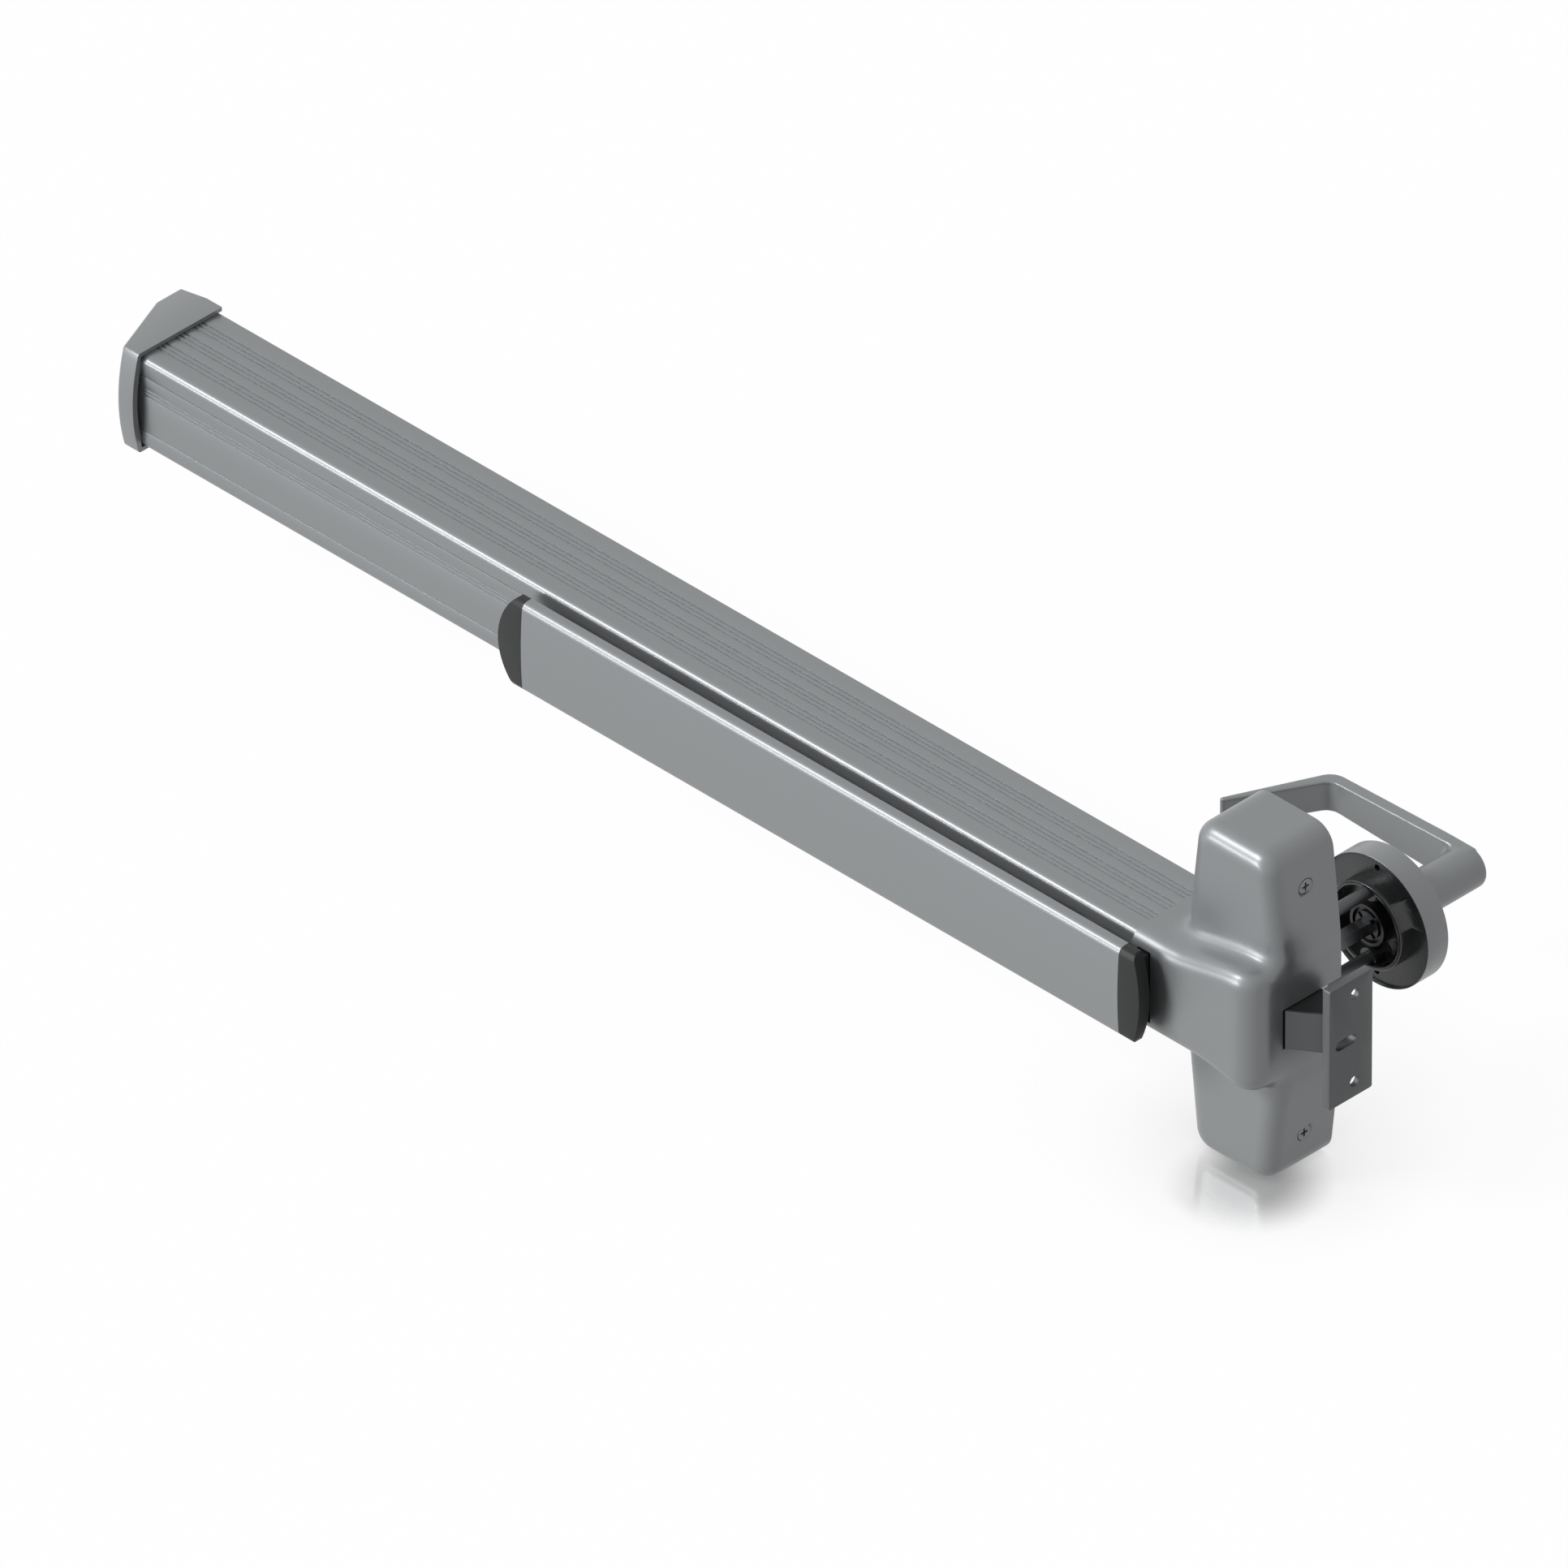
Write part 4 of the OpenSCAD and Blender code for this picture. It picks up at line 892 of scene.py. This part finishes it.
class EXIT_OT_springs(bpy.types.Operator):
    """Makes the round-wire springs"""
    bl_idname = "exit.springs"
    bl_label = "Springs"

    def execute(self, context):
        wire = 0.6      # wire radius of the latch's and the cranks' springs
        low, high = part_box("latch_spring")
        latch = coil((0, (low.y + high.y) / 2 / MM, 0), (1, 0, 0), 3.6, wire, 12,
                     low.x / MM + wire, high.x / MM - wire)
        latch = add_piece(latch, "latch_coil", "frame", "spring_steel", ["latch_spring"])
        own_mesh(latch)
        low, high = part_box("lever_spring")
        lever = coil((0, 0, 0), (0, 1, 0), 15.5, 1, 2, low.y / MM + 1, high.y / MM - 1)
        add_piece(lever, "lever_coil", "frame", "spring_steel", ["lever_spring"])
        low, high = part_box("crank_springs")
        middle, radius = (low.y + high.y) / 2 / MM, (high.y - low.y) / 2 / MM - wire
        for name, x in (("left_crank_coil", low.x / MM + radius + wire),
                        ("right_crank_coil", high.x / MM - radius - wire)):
            crank = coil((x, middle, 0), (0, 0, 1), radius, wire, 2,
                         low.z / MM + wire, high.z / MM - wire)
            add_piece(crank, name, "frame", "spring_steel", ["crank_springs"])
        return {"FINISHED"}


class EXIT_OT_ironwork(bpy.types.Operator):
    """Gives every CAD piece that stays its own finish"""
    bl_idname = "exit.ironwork"
    bl_label = "Brackets, links and screws"

    def execute(self, context):
        slots = {row["node"]: row["material_slot"] for row in frame["record"]["subparts"]}
        for name, node in frame["nodes"].items():
            material = finish_material(NODE_FINISHES.get(name, SLOT_FINISHES[slots[name]]))
            if not node.material_slots:
                node.data.materials.append(material)
            for place in node.material_slots:
                place.material = material
        return {"FINISHED"}


# The stage's measures are metres
LIT = 0.74              # brightness of the floor in full light, as a share of white
FLOOR_HALF = 60         # half the side of the floor
BELOW = 0.0002          # how far the floor lies under the cover's foot
UNDER_FOOT = (0.0, -0.02, CAD_BOX[0][2])        # the middle of the shadow
# The glossy patch by the foot is partly painted shade, for its grey gloss darkens the floor there
BY_CORNER = (0.018, -0.048, CAD_BOX[0][2])      # the middle of the glossy patch
# Each light, where it comes from, the look that holds its strength, and its spread in degrees
LIGHTS = (("key_light", (-0.47, -0.63, 0.61), "key", 16),
          ("fill_light", (-0.45, -0.90, 0.06), "fill", 25))


class EXIT_OT_stage(bpy.types.Operator):
    """Makes the floor, the lights and the camera"""
    bl_idname = "exit.stage"
    bl_label = "Stage"

    def floor_material(self, looks):
        """White studio floor: it glows white, keeps a faint shadow, and is glossy by the foot.
        Painted shade darkens its glow where things stand near, and the grey gloss by the foot shows
        real reflection but also darkens the floor there as painted shade.
        """
        material = bpy.data.materials.new("studio_floor")
        material.use_nodes = True
        tree = material.node_tree
        tree.nodes.clear()
        place = add_node(tree, "ShaderNodeTexCoord").outputs["Object"]
        middle = add_node(tree, "ShaderNodeVectorMath", {"operation": "DISTANCE"},
                          {0: place, 1: UNDER_FOOT})
        shade = add_node(tree, "ShaderNodeMapRange", {"interpolation_type": "SMOOTHSTEP"},
                         {"Value": middle.outputs["Value"], "From Min": 0.05, "From Max": 0.17,
                          "To Min": looks.shade, "To Max": looks.far_shade})
        rest = add_node(tree, "ShaderNodeMath", {"operation": "MULTIPLY_ADD"},
                        {0: shade, 1: -LIT, 2: 1.0})
        # Painted shade: ambient occlusion darkens the floor's white glow where the cover or the bar
        # stands near it
        close = add_node(tree, "ShaderNodeAmbientOcclusion", {"samples": 8}, {"Distance": 0.07})
        painted_contact_shade = add_node(tree, "ShaderNodeMath", {"operation": "MULTIPLY_ADD"},
                        {0: close.outputs["AO"], 1: looks.painted_contact_shade, 2: 1.0 - looks.painted_contact_shade})
        bare = add_node(tree, "ShaderNodeMath", {"operation": "MULTIPLY"}, {0: rest, 1: painted_contact_shade})
        lift = add_node(tree, "ShaderNodeMath", {"operation": "MULTIPLY"},
                        {0: self.seen(tree), 1: bare})
        paint = add_node(tree, "ShaderNodeBsdfDiffuse", None, {"Color": shade})
        glow = add_node(tree, "ShaderNodeEmission", None, {"Color": WHITE, "Strength": lift})
        matt = add_node(tree, "ShaderNodeAddShader", None, {0: paint, 1: glow})
        # Real reflection and painted shade: by the foot the floor turns to a grey gloss that shows
        # the cover's reflection and, being grey, darkens the floor round the foot
        gloss_and_painted_shade = add_node(tree, "ShaderNodeBsdfAnisotropic", None,
                         {"Color": (0.4, 0.4, 0.4, 1), "Roughness": 0.09})
        foot = add_node(tree, "ShaderNodeVectorMath", {"operation": "DISTANCE"},
                        {0: place, 1: BY_CORNER})
        near = add_node(tree, "ShaderNodeMapRange", {"interpolation_type": "SMOOTHSTEP"},
                        {"Value": foot.outputs["Value"], "From Min": 0.012, "From Max": 0.048,
                         "To Min": looks.mirror, "To Max": 0.0})
        path = add_node(tree, "ShaderNodeLightPath")
        share = add_node(tree, "ShaderNodeMath", {"operation": "MULTIPLY"},
                         {0: near, 1: path.outputs["Is Camera Ray"]})
        both = add_node(tree, "ShaderNodeMixShader", None, {0: share, 1: matt, 2: gloss_and_painted_shade})
        add_node(tree, "ShaderNodeOutputMaterial", None, {"Surface": both})
        return material

    def seen(self, tree):
        """One for a ray from the camera or one that metal or glass sends on, and none for others."""
        path = add_node(tree, "ShaderNodeLightPath")
        direct = add_node(tree, "ShaderNodeMath", {"operation": "MAXIMUM"},
                          {0: path.outputs["Is Camera Ray"], 1: path.outputs["Is Glossy Ray"]})
        return add_node(tree, "ShaderNodeMath", {"operation": "MAXIMUM"},
                        {0: direct, 1: path.outputs["Is Transmission Ray"]})

    def execute(self, context):
        scene, looks = context.scene, context.scene.exit_stage
        bm = bmesh.new()
        bmesh.ops.create_grid(bm, x_segments=1, y_segments=1, size=FLOOR_HALF)
        bmesh.ops.translate(bm, verts=bm.verts, vec=(0, 0, CAD_BOX[0][2] - BELOW))
        mesh = bpy.data.meshes.new("studio_floor")
        bm.to_mesh(mesh)
        bm.free()
        floor = bpy.data.objects.new("studio_floor", mesh)
        mesh.materials.append(self.floor_material(looks))
        scene.collection.objects.link(floor)

        world = bpy.data.worlds.new("studio")
        scene.world = world
        world.use_nodes = True
        tree = world.node_tree
        tree.nodes.clear()
        strength = add_node(tree, "ShaderNodeMapRange", None,
                            {"Value": self.seen(tree), "To Min": looks.ambient, "To Max": 1.0})
        sky = add_node(tree, "ShaderNodeBackground", None, {"Color": WHITE, "Strength": strength})
        add_node(tree, "ShaderNodeOutputWorld", None, {"Surface": sky})

        for name, toward, look, spread in LIGHTS:
            lamp = bpy.data.lights.new(name, "SUN")
            lamp.energy = getattr(looks, look)
            lamp.angle = math.radians(spread)
            light = bpy.data.objects.new(name, lamp)
            light.rotation_mode = "QUATERNION"
            light.rotation_quaternion = Vector(toward).to_track_quat("Z", "Y")
            light.location = Vector(toward) * 3
            scene.collection.objects.link(light)

        camera = bpy.data.cameras.new("camera")
        camera.lens = looks.lens
        camera.sensor_width = 36
        across, rise = math.radians(45), math.radians(35.264)      # an isometric view
        flat = math.cos(rise)
        back = Vector((math.sin(across) * flat, -math.cos(across) * flat, math.sin(rise)))
        distance = looks.field * looks.lens / camera.sensor_width
        camera.clip_start, camera.clip_end = 0.1, 1000
        eye = bpy.data.objects.new("camera", camera)
        eye.rotation_mode = "QUATERNION"
        eye.location = Vector(looks.target) + back * distance
        eye.rotation_quaternion = (-back).to_track_quat("-Z", "Y")
        scene.collection.objects.link(eye)
        scene.camera = eye
        scene.view_settings.view_transform = "Standard"
        return {"FINISHED"}


class EXIT_PT_panel(bpy.types.Panel):
    """Lists the sizes and the pieces"""
    bl_label = "Exit device"
    bl_idname = "EXIT_PT_panel"
    bl_space_type = "VIEW_3D"
    bl_region_type = "UI"
    bl_category = "Exit device"

    def draw(self, context):
        for group in (context.scene.exit_cover, context.scene.exit_bar, context.scene.exit_lever,
                      context.scene.exit_stage):
            box = self.layout.box()
            for key in group.__annotations__:
                box.prop(group, key)
        for operator in OPERATORS:
            self.layout.operator(operator.bl_idname)


GROUPS = {"exit_cover": ExitCoverSizes, "exit_bar": ExitBarSizes, "exit_lever": ExitLeverSizes,
          "exit_stage": ExitStageLooks}
OPERATORS = (EXIT_OT_stage, EXIT_OT_ironwork, EXIT_OT_case, EXIT_OT_filler, EXIT_OT_end_cap,
             EXIT_OT_touch_pad, EXIT_OT_pad_ends, EXIT_OT_cover, EXIT_OT_latch, EXIT_OT_strike,
             EXIT_OT_trim, EXIT_OT_lever, EXIT_OT_springs)


def register():
    for name, group in GROUPS.items():
        bpy.utils.register_class(group)
        setattr(bpy.types.Scene, name, PointerProperty(type=group))
    for operator in OPERATORS:
        bpy.utils.register_class(operator)
    bpy.utils.register_class(EXIT_PT_panel)


def unregister():
    bpy.utils.unregister_class(EXIT_PT_panel)
    for operator in reversed(OPERATORS):
        bpy.utils.unregister_class(operator)
    for name, group in GROUPS.items():
        delattr(bpy.types.Scene, name)
        bpy.utils.unregister_class(group)


def main():
    register()
    bpy.ops.exit.stage()
    bpy.ops.exit.ironwork()
    bpy.ops.exit.case()
    bpy.ops.exit.filler()
    bpy.ops.exit.end_cap()
    bpy.ops.exit.touch_pad()
    bpy.ops.exit.pad_ends()
    bpy.ops.exit.cover()
    bpy.ops.exit.latch()
    bpy.ops.exit.strike()
    bpy.ops.exit.trim()
    bpy.ops.exit.lever()
    bpy.ops.exit.springs()


if __name__ == "__main__":
    main()
